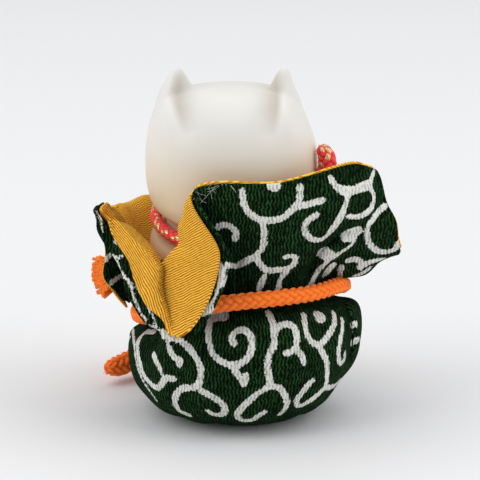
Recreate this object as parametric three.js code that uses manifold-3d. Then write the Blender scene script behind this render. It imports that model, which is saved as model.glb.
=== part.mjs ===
// A white ceramic shiba inu wrapped in a lined crepe cloth, a lucky ornament that stands on a shelf.
// Millimetres, +Z up. The dog looks along -Y, and the origin is on the flat underside, below its ears.
import * as THREE from "three";
import { mergeVertices } from "three/addons/utils/BufferGeometryUtils.js";
import Module from "manifold-3d";

const wasm = await Module();
wasm.setup();

// Clearance between pieces that touch
const gap = 0.3;

// The casting: widths and depths are half sizes, heights are above the surface it stands on
const dog = {
  wall: 3.5,
  footRadius: 9.5,
  hipRadius: 20,
  waistRadius: 16.9,
  shoulderRadius: 18.9,
  neckRadius: 15.6,
  headRadius: 19.7,
  headDepth: 18.2,
  shoulderHeight: 40,
  collarHeight: 46.5,
  cheekHeight: 59,
  topHeight: 76.8,
  ventRadius: 5.2,
  footHeight: 2.9,
  mouthRadius: 11.2,
  chestSetback: 1.9,
};
const ear = { tipHeight: 81.4, spread: 12.6, halfWidth: 6.2, halfDepth: 5.2, rootHeight: 66 };
const muzzle = { halfWidth: 6.6, reach: 25.6, halfHeight: 4.2, height: 59.2 };
const jaw = { halfWidth: 4.7, reach: 23.6, halfHeight: 2.4, height: 56 };
const cheek = { halfWidth: 8.4, halfDepth: 5, halfHeight: 7, spread: 9.4, reach: 18.6, height: 58.6 };

// The wrapping cloth: outer crepe and lining hang on one shared surface, half a ply gap to each side
const cloth = {
  outer: 0.75,
  lining: 0.65,
  ply: 0.4,
  shift: -2,
  footRadius: 12,
  bellyRadius: 26.1,
  bellyHeight: 15,
  grooveDepth: 3,
  grooveHalf: 5.3,
  bandHalf: 2.3,
  pleatDepth: 0.8,
  sway: -0.8,
};

// The cord round the wrapping, which slopes up to the back and dips on the dog's left
const cord = {
  diameter: 4,
  radius: 23.7,
  height: 27.4,
  rise: 0.225,
  lean: -0.08,
  sag: 2.9,
  sagAngle: 20,
  knotAngle: 270,
};
const tuft = { length: 7.5, spread: 1.75 };

// The twisted collar, higher at the throat than at the nape
const collar = { diameter: 3, slope: -0.2, knotAngle: 176 };
const collarTuft = { length: 6, spread: 1.35 };

// The bell under the throat
const bell = {
  radius: 4.6,
  wall: 0.5,
  eyeRadius: 2.2,
  eyeWire: 0.8,
  rest: 30,
  slotWidth: 1.2,
  slotEnd: 1.8,
  lipHeight: 1,
  pelletRadius: 1.3,
  pelletPlay: 0.2,
};

// What follows from those sizes
const midAbove = cloth.ply / 2 + cloth.outer;
const midBelow = cloth.ply / 2 + cloth.lining;
const waistRadius = cord.radius - cord.diameter / 2 - gap - midAbove;
const dogBase = midAbove + midBelow + gap;
const collarRadius = dog.neckRadius + gap + collar.diameter / 2;
const rad = THREE.MathUtils.degToRad;

// Solids and booleans
function toSolid(geometry) {
  const bare = geometry.clone();
  bare.deleteAttribute("normal");
  bare.deleteAttribute("uv");
  const merged = mergeVertices(bare, 1e-4);
  return new wasm.Manifold(
    new wasm.Mesh({
      numProp: 3,
      vertProperties: merged.attributes.position.array,
      triVerts: new Uint32Array(merged.index.array),
    }),
  );
}

function toGeometry(solid) {
  const mesh = solid.getMesh();
  const geometry = new THREE.BufferGeometry();
  geometry.setAttribute("position", new THREE.BufferAttribute(mesh.vertProperties, 3));
  geometry.setIndex(new THREE.BufferAttribute(mesh.triVerts, 1));
  const flat = geometry.toNonIndexed();
  flat.computeVertexNormals();
  return flat;
}

function joined(geometries) {
  return toGeometry(geometries.map(toSolid).reduce((all, one) => all.add(one)));
}

function cut(geometry, tools) {
  return toGeometry(tools.map(toSolid).reduce((left, tool) => left.subtract(tool), toSolid(geometry)));
}

// A closed skin from rings of points, with a point at each end. From the ring named last on, each
// four-sided patch is split along its other diagonal, as on a sheet that comes back over itself.
function skin(start, rings, end, backFrom = rings.length) {
  const points = [start, ...rings.flat(), end];
  const count = rings[0].length;
  const faces = [];
  const at = (ring, i) => 1 + ring * count + (i % count);
  for (let i = 0; i < count; i++) {
    faces.push(0, at(0, i + 1), at(0, i));
    for (let ring = 0; ring + 1 < rings.length; ring++) {
      const corners = [at(ring, i), at(ring, i + 1), at(ring + 1, i + 1), at(ring + 1, i)];
      const [a, b, c, d] = ring < backFrom ? corners : [...corners.slice(1), corners[0]];
      faces.push(a, b, c, a, c, d);
    }
    faces.push(at(rings.length - 1, i), at(rings.length - 1, i + 1), points.length - 1);
  }
  const geometry = new THREE.BufferGeometry().setFromPoints(points);
  geometry.setIndex(faces);
  const flat = geometry.toNonIndexed();
  flat.computeVertexNormals();
  return flat;
}

// One level of a casting: a rounded square ring that may tilt and sit off the axis
function level({ z, x, y, cx = 0, cy = 0, tilt = 0, power = 2 }, sides) {
  return Array.from({ length: sides }, (_, i) => {
    const turn = (i / sides) * 2 * Math.PI;
    const px = x * Math.sign(Math.cos(turn)) * Math.abs(Math.cos(turn)) ** (2 / power);
    const py = y * Math.sign(Math.sin(turn)) * Math.abs(Math.sin(turn)) ** (2 / power);
    return new THREE.Vector3(cx + px, cy + py, z + tilt * (cy + py));
  });
}

function casting(levels, sides) {
  const first = levels[0];
  const last = levels[levels.length - 1];
  const start = new THREE.Vector3(first.cx ?? 0, first.cy ?? 0, first.z);
  const end = new THREE.Vector3(last.cx ?? 0, last.cy ?? 0, last.z);
  return skin(start, levels.slice(0, -1).map((one) => level(one, sides)), end);
}

// A round cord along a route
function cordAlong(curve, diameter, steps, sides = 8) {
  const section = new THREE.Shape().setFromPoints(
    Array.from({ length: sides }, (_, i) => {
      const turn = (i / sides) * 2 * Math.PI;
      return new THREE.Vector2(Math.cos(turn), Math.sin(turn)).multiplyScalar(diameter / 2);
    }),
  );
  return new THREE.ExtrudeGeometry(section, { steps, extrudePath: curve, bevelEnabled: false });
}

class Arc extends THREE.Curve {
  constructor(place, from, to) {
    super();
    Object.assign(this, { place, from, to });
  }
  getPoint(t, target = new THREE.Vector3()) {
    return target.copy(this.place(rad(this.from + (this.to - this.from) * t)));
  }
}

function along(points) {
  return new THREE.CatmullRomCurve3(points.map((p) => new THREE.Vector3(...p)));
}

// The frayed end of a cord, starting a gap beyond the cord and opening along its direction
function tuftAt(curve, diameter, { length, spread }) {
  const half = diameter / 2;
  const profile = [
    [0, 0],
    [half, 0],
    [half * 0.9, length * 0.12],
    [half * spread * 0.8, length * 0.5],
    [half * spread, length * 0.85],
    [half * spread * 0.85, length],
    [0, length],
  ].map(([r, h]) => new THREE.Vector2(r, h));
  const geometry = new THREE.LatheGeometry(profile, 10);
  const direction = curve.getTangent(1);
  const start = curve.getPoint(1).addScaledVector(direction, gap);
  geometry.applyQuaternion(new THREE.Quaternion().setFromUnitVectors(new THREE.Vector3(0, 1, 0), direction));
  return geometry.translate(start.x, start.y, start.z);
}

function ellipsoid(x, y, z, across = 18, down = 12) {
  return new THREE.SphereGeometry(1, across, down).scale(x, y, z);
}

// The ceramic dog, slip cast and hollow
function bodyLevels(inset) {
  const set = dog.chestSetback;
  const grooveTilt = collar.slope;
  const outer = [
    { z: dogBase, x: dog.footRadius, y: dog.footRadius },
    { z: dogBase + 1.6, x: dog.footRadius + 3.6, y: dog.footRadius + 3.6 },
    { z: dogBase + 5, x: dog.hipRadius - 1.8, y: dog.hipRadius - 1.8 },
    { z: dogBase + 10, x: dog.hipRadius, y: dog.hipRadius },
    { z: dogBase + 13, x: dog.hipRadius - 0.7, y: dog.hipRadius - 0.7 },
    { z: cord.height - 7, x: dog.waistRadius + 0.2, y: dog.waistRadius + 0.2 },
    { z: cord.height, x: dog.waistRadius, y: dog.waistRadius },
    { z: dog.shoulderHeight - 6, x: dog.shoulderRadius - 1, y: dog.shoulderRadius - 1 - set / 2, cy: set / 2 },
    { z: dog.shoulderHeight, x: dog.shoulderRadius, y: dog.shoulderRadius - set, cy: set, tilt: grooveTilt / 2 },
    { z: dog.collarHeight - 3.6, x: dog.shoulderRadius - 0.5, y: dog.shoulderRadius - 0.9 - set, cy: set, tilt: grooveTilt },
    { z: dog.collarHeight - 1.7, x: dog.neckRadius - 0.3, y: dog.neckRadius - set * 0.6, cy: set / 2, tilt: grooveTilt },
    { z: dog.collarHeight + 1.5, x: dog.neckRadius - 0.3, y: dog.neckRadius - set * 0.6, cy: set / 2, tilt: grooveTilt },
    { z: dog.collarHeight + 3.9, x: dog.headRadius - 1.5, y: dog.headDepth - 0.2, tilt: grooveTilt, power: 2.2 },
    { z: dog.cheekHeight - 5, x: dog.headRadius - 0.3, y: dog.headDepth, tilt: grooveTilt / 2, power: 2.3 },
    { z: dog.cheekHeight, x: dog.headRadius, y: dog.headDepth, power: 2.4 },
    { z: dog.cheekHeight + 6, x: dog.headRadius - 0.4, y: dog.headDepth - 0.4, power: 2.4 },
    { z: dog.cheekHeight + 11, x: dog.headRadius - 1.8, y: dog.headDepth - 2.2, power: 2.4 },
    { z: dog.topHeight - 3.2, x: dog.headRadius - 4.6, y: dog.headDepth - 5.4, power: 2.3 },
    { z: dog.topHeight - 0.9, x: dog.headRadius - 9.4, y: dog.headDepth - 9.8, power: 2.2 },
    { z: dog.topHeight, x: 0, y: 0 },
  ];
  if (!inset) return outer;
  return outer
    .map((one) => ({ ...one, x: one.x - inset, y: one.y - inset }))
    .filter((one) => one.z >= dogBase + inset && one.z <= dog.topHeight - inset - 1)
    .concat({ z: dog.topHeight - inset, x: 0, y: 0 });
}

function earShape(side) {
  const base = { cx: side * ear.spread, cy: -1 };
  const rise = ear.tipHeight - ear.rootHeight;
  const whole = casting(
    [
      { ...base, z: ear.rootHeight - 4, x: ear.halfWidth, y: ear.halfDepth },
      { ...base, z: ear.rootHeight + rise * 0.25, x: ear.halfWidth * 0.97, y: ear.halfDepth },
      { ...base, z: ear.rootHeight + rise * 0.5, x: ear.halfWidth * 0.74, y: ear.halfDepth * 0.8, cy: -0.3 },
      { ...base, z: ear.rootHeight + rise * 0.76, x: ear.halfWidth * 0.42, y: ear.halfDepth * 0.5, cy: 0.4 },
      { ...base, z: ear.rootHeight + rise * 0.94, x: ear.halfWidth * 0.17, y: ear.halfDepth * 0.22, cy: 0.9 },
      { ...base, z: ear.tipHeight, x: 0, y: 0, cy: 1 },
    ],
    14,
  );
  const hollow = ellipsoid(ear.halfWidth * 0.5, ear.halfDepth * 0.5, rise * 0.36);
  hollow.translate(side * ear.spread, -ear.halfDepth, ear.rootHeight + rise * 0.42);
  return cut(whole, [hollow]);
}

// The head is cast on its own and joined to the body under the collar, on the collar's own slope
function neckPlane(side) {
  const size = 6 * dog.headRadius;
  const block = new THREE.BoxGeometry(size, size, size).translate(0, 0, side * (size / 2 - gap / 2));
  return block.rotateX(Math.atan(collar.slope)).translate(0, 0, dog.collarHeight);
}

function dogPart(side) {
  const jutting = ({ halfWidth, reach, halfHeight, height }, root) => {
    const halfDepth = reach - root;
    return ellipsoid(halfWidth, halfDepth, halfHeight).translate(0, -root, height);
  };
  const root = dog.headDepth - 4;
  const snout = jutting(muzzle, root);
  const chin = jutting(jaw, root);
  const nose = ellipsoid(2.3, 1.5, 1.6).translate(0, 0.6 - muzzle.reach, muzzle.height + 1.6);
  const cheeks = [-1, 1].map((side) => {
    const one = ellipsoid(cheek.halfWidth, cheek.halfDepth, cheek.halfHeight);
    return one.translate(side * cheek.spread, cheek.halfDepth - cheek.reach, cheek.height);
  });
  const pieces = [casting(bodyLevels(0), 36), earShape(1), earShape(-1), snout, chin, nose, ...cheeks];
  const seat = dogBase + dog.footHeight + gap;
  const below = new THREE.BoxGeometry(4 * dog.hipRadius, 4 * dog.hipRadius, 2 * seat);
  const mouth = upright(dog.mouthRadius, seat, 2 * dog.wall);
  return cut(joined(pieces), [casting(bodyLevels(dog.wall), 28), mouth, below, neckPlane(-side)]);
}

// A cylinder along Z, centred on a height
function upright(radius, height, depth) {
  return new THREE.CylinderGeometry(radius, radius, depth, 28).rotateX(Math.PI / 2).translate(0, 0, height);
}

// The foot ring that the casting stands on, with the vent that it drained through
function footRing() {
  const top = dogBase + dog.footHeight;
  const above = new THREE.BoxGeometry(4 * dog.hipRadius, 4 * dog.hipRadius, 4 * dog.topHeight);
  above.translate(0, 0, top + 2 * dog.topHeight);
  return cut(casting(bodyLevels(0), 36), [above, upright(dog.ventRadius, dogBase, 3 * dog.wall)]);
}

// A tied knot: a middle turn between two lesser ones, inside an ellipsoid of these half sizes
function knotOf(half, place) {
  const lesser = 0.82;
  const offset = 0.58 * half.x;
  const turns = [-1, 0, 1].map((side) => {
    const share = side === 0 ? 1 : lesser;
    return ellipsoid(0.42 * half.x, share * half.y, share * half.z).translate(side * offset, 0, 0);
  });
  return joined(turns).translate(place.x, place.y, place.z);
}

// The mouth of the wrapping, as ribs that leave the waist at an angle in degrees. The crest is where
// the cloth turns over, or half way up an upright stretch. Crest and hem are each given as degrees
// of turn from the rib's foot, reach beyond the waist and rise above it.
const ribs = [
  { at: 5, crest: { turn: -3, reach: 6, rise: 18.6 }, hem: { turn: -4, reach: 7.8, rise: 25.4 } },
  { at: 26, crest: { turn: -6.7, reach: 11.3, rise: 20 }, hem: { turn: -6.6, reach: 14.1, rise: 27.3 } },
  { at: 46, crest: { turn: -13, reach: 8.2, rise: 20.5 }, hem: { turn: -11.7, reach: 11.5, rise: 17.1 } },
  { at: 65, crest: { turn: -13.7, reach: 7.8, rise: 12.3 }, hem: { turn: 0, reach: 13.2, rise: -3.3 } },
  { at: 80, crest: { turn: -21.2, reach: 4.7, rise: 20.5 }, hem: { turn: 1.2, reach: 8.8, rise: 13.2 } },
  { at: 92, crest: { turn: -25.4, reach: 3.2, rise: 22.6 }, hem: { turn: -25.4, reach: 4.8, rise: 27.1 } },
  { at: 114, crest: { turn: -4.8, reach: 4, rise: 17.5 }, hem: { turn: -3.6, reach: 2.4, rise: 26.2 } },
  { at: 142, crest: { turn: 7.5, reach: 9.1, rise: 19.6 }, hem: { turn: 18.2, reach: 10.5, rise: 29.6 } },
  { at: 165, crest: { turn: 2.5, reach: 10.6, rise: 7.9 }, hem: { turn: 5.6, reach: 16.2, rise: 10.3 } },
  { at: 186, crest: { turn: 0.3, reach: 6.8, rise: 7.5 }, hem: { turn: 0.9, reach: 8.8, rise: 11.5 } },
  { at: 208, crest: { turn: 1.1, reach: 6.8, rise: 14.1 }, hem: { turn: 0.3, reach: 10.8, rise: 18.7 } },
  { at: 236, crest: { turn: -2, reach: 8.4, rise: 15.9 }, hem: { turn: -2.1, reach: 17, rise: 8.9 } },
  { at: 264, crest: { turn: 1.4, reach: 5.8, rise: 14.2 }, hem: { turn: 1, reach: 9.3, rise: 17.2 } },
  { at: 298, crest: { turn: -0.5, reach: 6.3, rise: 16.7 }, hem: { turn: 0.6, reach: 12.2, rise: 18.5 } },
  { at: 314, crest: { turn: 0, reach: 7.8, rise: 19.7 }, hem: { turn: 4.9, reach: 12.5, rise: 9.7 } },
  { at: 332, crest: { turn: 5.5, reach: 8.7, rise: 20.3 }, hem: { turn: 10.2, reach: 7.8, rise: -1.1 } },
  { at: 350, crest: { turn: 1.2, reach: 6.4, rise: 21 }, hem: { turn: 2.1, reach: 11.8, rise: 19.2 } },
];
const columnsPerRib = 3;
const dipSharpness = 8;

// A smooth curve through the values of neighbouring ribs
function between(a, b, c, d, t) {
  const start = (c - a) / 2;
  const end = (d - b) / 2;
  return hermite(b, c, start, end, t);
}

function hermite(from, to, start, end, t) {
  const a = 2 * t ** 3 - 3 * t ** 2 + 1;
  const b = t ** 3 - 2 * t ** 2 + t;
  const c = -2 * t ** 3 + 3 * t ** 2;
  const d = t ** 3 - t ** 2;
  return a * from + b * start + c * to + d * end;
}

// A value of the ribs at a place counted in ribs round the mouth
function atRib(read, place) {
  const first = Math.floor(place);
  const value = (i) => {
    const turns = Math.floor(i / ribs.length);
    return read(ribs[i - turns * ribs.length], turns);
  };
  return between(value(first - 1), value(first), value(first + 1), value(first + 2), place - first);
}

function cordHeight(angle, radius) {
  const slope = cord.rise * Math.sin(angle) + cord.lean * Math.cos(angle);
  const dip = ((1 + Math.cos(angle - rad(cord.sagAngle))) / 2) ** dipSharpness;
  return cord.height + radius * slope - cord.sag * dip;
}

function onPouch(angle, radius, z) {
  return new THREE.Vector3(cloth.shift + radius * Math.cos(angle), radius * Math.sin(angle), z);
}

// The shared surface of crepe and lining, from the foot to the hem, at one place round the mouth
function clothColumn(place) {
  const degrees = atRib((rib, turns) => rib.at + 360 * turns, place);
  const angle = rad(degrees);
  const waist = cordHeight(angle, waistRadius);
  const fold = 0.5 + 0.5 * Math.cos(2 * Math.PI * place);
  const neckline = waistRadius + cloth.grooveDepth + cloth.pleatDepth * fold;
  const upper = (cloth.bellyHeight + waist - cloth.grooveHalf) / 2;
  const foot = midAbove;
  // Radius, height, and the share of the sway that moves the ring sideways
  const belly = [
    [cloth.footRadius, foot, -0.5],
    [cloth.bellyRadius - 6.4, foot + 2.6, -0.6],
    [cloth.bellyRadius - 1.8, foot + 7.6, 0],
    [cloth.bellyRadius - 0.3 + cloth.pleatDepth * fold * 0.5, upper, 1],
    [neckline, waist - cloth.grooveHalf, 0.5],
    [waistRadius, waist - cloth.bandHalf, 0],
    [waistRadius, waist + cloth.bandHalf, 0],
  ].map(([radius, z, share]) => onPouch(angle, radius, z).add(new THREE.Vector3(share * cloth.sway, 0, 0)));

  const reachTo = (name) => {
    const [turn, reach, rise] = ["turn", "reach", "rise"].map((k) => atRib((rib) => rib[name][k], place));
    const to = angle + rad(turn);
    return onPouch(to, waistRadius + reach, cordHeight(to, waistRadius) + rise);
  };
  const start = belly[belly.length - 1];
  const crest = reachTo("crest");
  const hem = reachTo("hem");
  const rise = new THREE.Vector3(0, 0, crest.distanceTo(start));
  const over = hem.clone().sub(start).multiplyScalar(0.5);
  const out = hem.clone().sub(crest);
  const blend = (from, to, a, b, t) =>
    new THREE.Vector3(...["x", "y", "z"].map((k) => hermite(from[k], to[k], a[k], b[k], t)));
  const thirds = [1 / 3, 2 / 3, 1];
  const up = thirds.map((t) => blend(start, crest, rise, over, t));
  const down = thirds.map((t) => blend(crest, hem, over, out, t));
  return [...belly, ...up, ...down];
}

const columns = Array.from({ length: ribs.length * columnsPerRib }, (_, i) =>
  clothColumn(i / columnsPerRib),
);

// The direction out of the cloth at each point of the shared surface
const outward = columns.map((column, i) =>
  column.map((point, j) => {
    const next = columns[(i + 1) % columns.length][j];
    const last = columns[(i + columns.length - 1) % columns.length][j];
    const above = column[Math.min(j + 1, column.length - 1)];
    const below = column[Math.max(j - 1, 0)];
    return next.clone().sub(last).cross(above.clone().sub(below)).normalize();
  }),
);

// A layer of cloth between two distances from the shared surface
function clothLayer(outside, inside) {
  const rows = columns[0].length;
  const ring = (row, distance) =>
    columns.map((column, i) => {
      const direction = row === 0 ? new THREE.Vector3(0, 0, -1) : outward[i][row];
      return column[row].clone().addScaledVector(direction, distance);
    });
  const up = Array.from({ length: rows }, (_, row) => ring(row, outside));
  const down = Array.from({ length: rows }, (_, row) => ring(rows - 1 - row, inside));
  const underside = new THREE.Vector3(cloth.shift, 0, midAbove - outside);
  const floor = new THREE.Vector3(cloth.shift, 0, midAbove - inside);
  return skin(underside, [...up, ...down], floor, rows);
}

// The cord round the waist, its knot and its two frayed tails
const knotTurn = 11;
const knotHalf = { x: 1.1 * cord.diameter, y: 0.65 * cord.diameter, z: 0.675 * cord.diameter };
const cordRing = (angle) => onPouch(angle, cord.radius, cordHeight(angle, cord.radius));
const wrapRoute = new Arc(cordRing, cord.knotAngle + knotTurn, cord.knotAngle + 360 - knotTurn);
const knotPlace = cordRing(rad(cord.knotAngle)).add(new THREE.Vector3(0, -0.55 * cord.diameter, 0));

// Each tail leaves the knot face to face with it; its points are in cord diameters from the knot
const tailFromKnot = (steps) =>
  along(steps.map((step) => new THREE.Vector3(...step).multiplyScalar(cord.diameter).add(knotPlace).toArray()));
const upperTail = tailFromKnot([
  [0.69, -0.5, 0.35],
  [1.2, -1.4, 0.87],
  [3, -1.83, 0.83],
  [5.25, -1.13, 0.92],
  [7.2, 0.93, 1.02],
]);
const lowerTail = tailFromKnot([
  [0.49, -0.33, -0.63],
  [0.83, -0.9, -1.6],
  [2.25, -1.65, -2.65],
  [4.25, -1.28, -3.65],
  [5.7, 0.13, -4.1],
  [6.6, 1.08, -4.35],
]);

// The collar, its knot beside the cheek and its two tails
const collarRing = (angle) => {
  const y = collarRadius * Math.sin(angle);
  return new THREE.Vector3(collarRadius * Math.cos(angle), y, dog.collarHeight + collar.slope * y);
};
const collarKnotTurn = 9;
const collarRoute = new Arc(
  collarRing,
  collar.knotAngle + collarKnotTurn,
  collar.knotAngle + 360 - collarKnotTurn,
);
const collarKnotHalf = { x: 2.2, y: 2.5, z: 2.3 };
const collarKnotPlace = collarRing(rad(collar.knotAngle)).add(new THREE.Vector3(-1.4, 0, 0));
const cheekSide = -(dog.headRadius + gap + collar.diameter / 2);
const risingTail = along([
  [cheekSide - 0.2, collarKnotPlace.y + 0.6, collarKnotPlace.z + collarKnotHalf.z + gap],
  [cheekSide - 0.2, collarKnotPlace.y + 3, 52.8],
  [cheekSide + 0.4, collarKnotPlace.y + 5.4, 57.4],
]);
const restingTail = along([
  [collarKnotPlace.x - 1.2, collarKnotPlace.y - collarKnotHalf.y - 0.8, collarKnotPlace.z - 1.6],
  [collarKnotPlace.x - 1.6, collarKnotPlace.y - 5.2, collarKnotPlace.z - 3],
  [collarKnotPlace.x - 1, collarKnotPlace.y - 8.2, collarKnotPlace.z - 4.2],
]);

// The bell: two pressed shells, the upper with the loop that the collar runs through
const loopPlace = collarRing(rad(270));
const bellDrop = bell.eyeRadius + bell.radius;

function bellShell(upper) {
  const inner = bell.radius - bell.wall;
  const seam = gap / 2;
  const skirt = bell.lipHeight;
  const arc = (radius, from, to, count) =>
    Array.from({ length: count + 1 }, (_, i) => {
      const turn = rad(from + ((to - from) * i) / count);
      return new THREE.Vector2(radius * Math.cos(turn), radius * Math.sin(turn));
    });
  if (upper) {
    const edge = bell.radius + bell.wall + gap;
    const profile = [
      ...arc(inner, 90, 4, 6),
      new THREE.Vector2(inner, seam),
      new THREE.Vector2(edge, seam),
      new THREE.Vector2(edge, seam + bell.wall),
      new THREE.Vector2(bell.radius, seam + bell.wall),
      ...arc(bell.radius, 12, 90, 6),
    ];
    return new THREE.LatheGeometry(profile, 24);
  }
  const profile = [
    ...arc(bell.radius, -90, -12, 6),
    new THREE.Vector2(bell.radius, -seam - bell.wall),
    new THREE.Vector2(bell.radius + bell.wall + gap, -seam - bell.wall),
    new THREE.Vector2(bell.radius + bell.wall + gap, -seam),
    new THREE.Vector2(inner, -seam),
    ...arc(inner, -4, -90, 6),
  ];
  return new THREE.LatheGeometry(profile, 24);
}

function bellDome() {
  const shell = bellShell(true).rotateX(Math.PI / 2);
  const eye = new THREE.TorusGeometry(bell.eyeRadius, bell.eyeWire / 2, 8, 20);
  eye.rotateY(Math.PI / 2).translate(0, 0, bellDrop);
  return joined([shell, eye]);
}

function bellBowl() {
  const shell = bellShell(false).rotateX(Math.PI / 2);
  const slot = new THREE.BoxGeometry(2 * bell.radius * 0.7, bell.slotWidth, bell.radius);
  slot.translate(0, 0, -bell.radius);
  const ends = [-1, 1].map((side) => {
    const hole = new THREE.CylinderGeometry(bell.slotEnd / 2, bell.slotEnd / 2, bell.radius, 12);
    return hole.rotateX(Math.PI / 2).translate(side * bell.radius * 0.7, 0, -bell.radius * 0.8);
  });
  return cut(shell, [slot, ...ends]);
}

const white = new THREE.MeshStandardMaterial({ color: 0xf2f0ec, roughness: 0.08 });
const green = new THREE.MeshStandardMaterial({ color: 0x1b3f24, roughness: 0.9, side: THREE.DoubleSide });
const mustard = new THREE.MeshStandardMaterial({ color: 0xe0a640, roughness: 0.9 });
const orange = new THREE.MeshStandardMaterial({ color: 0xf46a22, roughness: 0.8 });
const red = new THREE.MeshStandardMaterial({ color: 0xee3f55, roughness: 0.75 });
const brass = new THREE.MeshStandardMaterial({ color: 0xd9b45a, roughness: 0.25, metalness: 1 });

const figurine = new THREE.Group();

function add(name, geometry, material, parent = figurine) {
  const mesh = new THREE.Mesh(geometry, material);
  mesh.name = name;
  parent.add(mesh);
  return mesh;
}

function placed(geometry, { x, y, z }) {
  return geometry.translate(x, y, z);
}

add("dog_head", dogPart(1), white);
add("dog_body", dogPart(-1), white);
add("dog_foot_ring", footRing(), white);
add("wrapping_outer", clothLayer(midAbove, cloth.ply / 2), green);
add("wrapping_lining", clothLayer(-cloth.ply / 2, -midBelow), mustard);

add("waist_cord_wrap", cordAlong(wrapRoute, cord.diameter, 56), orange);
add("waist_cord_knot", knotOf(knotHalf, knotPlace), orange);
add("waist_cord_tail_upper", cordAlong(upperTail, cord.diameter, 8), orange);
add("waist_cord_tail_lower", cordAlong(lowerTail, cord.diameter, 8), orange);
add("waist_tuft_upper", tuftAt(upperTail, cord.diameter, tuft), orange);
add("waist_tuft_lower", tuftAt(lowerTail, cord.diameter, tuft), orange);

add("collar_cord", cordAlong(collarRoute, collar.diameter, 48), red);
add("collar_knot", placed(ellipsoid(collarKnotHalf.x, collarKnotHalf.y, collarKnotHalf.z), collarKnotPlace), red);
add("collar_tail_rising", cordAlong(risingTail, collar.diameter, 6), red);
add("collar_tail_resting", cordAlong(restingTail, collar.diameter, 6), red);
add("collar_tuft_rising", tuftAt(risingTail, collar.diameter, collarTuft), red);
add("collar_tuft_resting", tuftAt(restingTail, collar.diameter, collarTuft), red);

const swing = new THREE.Group();
swing.position.copy(loopPlace);
swing.rotation.x = rad(-bell.rest);
figurine.add(swing);
const hanging = new THREE.Group();
hanging.position.z = -bellDrop;
swing.add(hanging);
add("bell_dome", bellDome(), brass, hanging);
add("bell_bowl", bellBowl(), brass, hanging);
const pellet = ellipsoid(bell.pelletRadius, bell.pelletRadius, bell.pelletRadius, 12, 8);
pellet.translate(0, 0, bell.pelletRadius + bell.pelletPlay + bell.wall - bell.radius);
add("bell_pellet", pellet, brass, hanging);

export default figurine;
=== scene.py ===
# %% [markdown]
# # A ceramic shiba inu in a crepe bag
# A white glazed dog sits in a lined crepe cloth that an orange cord gathers at its waist. It wears a
# red and gold collar with a bell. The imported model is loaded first, as a fixed frame in metres, and
# every piece below is made where that frame says. Sizes are written in millimetres and multiplied by mm.

# %% Load the frame
import math
import bpy
import numpy as np
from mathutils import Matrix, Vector
from mathutils.bvhtree import BVHTree


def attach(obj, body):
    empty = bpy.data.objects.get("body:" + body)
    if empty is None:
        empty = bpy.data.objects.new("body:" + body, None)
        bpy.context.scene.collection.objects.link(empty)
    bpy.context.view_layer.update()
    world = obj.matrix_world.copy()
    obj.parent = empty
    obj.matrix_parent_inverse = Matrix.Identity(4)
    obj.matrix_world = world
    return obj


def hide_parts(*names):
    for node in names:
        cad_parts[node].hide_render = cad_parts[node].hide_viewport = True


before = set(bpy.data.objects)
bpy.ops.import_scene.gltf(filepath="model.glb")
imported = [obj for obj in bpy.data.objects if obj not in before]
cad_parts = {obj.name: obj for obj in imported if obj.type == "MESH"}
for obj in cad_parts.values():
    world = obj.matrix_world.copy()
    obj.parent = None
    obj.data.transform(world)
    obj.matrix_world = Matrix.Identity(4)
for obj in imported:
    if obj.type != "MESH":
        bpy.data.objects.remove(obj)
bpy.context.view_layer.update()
mm = 0.001

# %% [markdown]
# ## The camera
# A long lens far away keeps the ornament's proportions flat, as in a shop photograph. It stands behind
# the dog and looks down 15 degrees. The same numbers turn a place in the picture into a line through
# space, which later puts each printed stroke where the photograph shows it.

# %% Camera
picture = 480
sensor = 36.0
lens_pixels = 2391.3
target = Vector((-1.84, 0, 40.4)) * mm
distance = 550 * mm
tilt = math.radians(15)
backward = Vector((0, math.cos(tilt), math.sin(tilt)))
camera_place = target + backward * distance
upward = Vector((0, -math.sin(tilt), math.cos(tilt)))
sideways = Vector((-1, 0, 0))

camera_data = bpy.data.cameras.new("camera")
camera_data.sensor_width = sensor
camera_data.lens = lens_pixels / picture * sensor
camera = bpy.data.objects.new("camera", camera_data)
camera.location = camera_place
camera.rotation_euler = (-backward).to_track_quat("-Z", "Y").to_euler()
bpy.context.scene.collection.objects.link(camera)
bpy.context.scene.camera = camera
print("camera at", [round(x / mm, 1) for x in camera.location], "mm")


def sight_line(px, py):
    """The direction from the camera through a place in the picture."""
    half = picture / 2
    return (-backward * lens_pixels + sideways * (px - half) + upward * (half - py)).normalized()


def in_picture(points):
    """Where points in metres fall in the picture, as an array of x and y."""
    offset = np.asarray(points) - np.array(camera_place)
    depth = -(offset @ np.array(backward))
    right = offset @ np.array(sideways) / depth
    up = offset @ np.array(upward) / depth
    return np.stack([picture / 2 + lens_pixels * right, picture / 2 - lens_pixels * up], -1)


# %% [markdown]
# ## Routes of the cords
# A cord is a fixed length of something flexible, so its line comes first. The waist cord runs round the
# bag and dips on the dog's left. Its two ends leave the knot in front, stand off the cloth and come
# round to the left side, where the photograph shows their frayed tips. A smooth curve goes through the
# points, spaced so that it doesn't overshoot where they lie close together.

# %% Cord and collar sizes
cord_width = 4.0
cord_radius = 23.7
cord_base = 27.4
cord_rise = 0.225
cord_lean = -0.08
cord_sag = 2.9
sag_angle = math.radians(20)
sag_narrowness = 8
bag_shift = -2.0
collar_width = 3.0
collar_radius = 17.4
collar_base = 46.5
collar_slope = -0.2


def cord_height(angle, radius):
    """The height of the waist at an angle: a tilted ring that dips at one side."""
    slope = cord_rise * np.sin(angle) + cord_lean * np.cos(angle)
    dip = ((1 + np.cos(angle - sag_angle)) / 2) ** sag_narrowness
    return cord_base + radius * slope - cord_sag * dip


def on_bag(angle, radius, height, shift=0.0):
    """Places round the bag, whose middle stands a little to one side."""
    x = bag_shift + shift + radius * np.cos(angle)
    return np.stack([x, radius * np.sin(angle), height + 0 * angle], -1)


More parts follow.
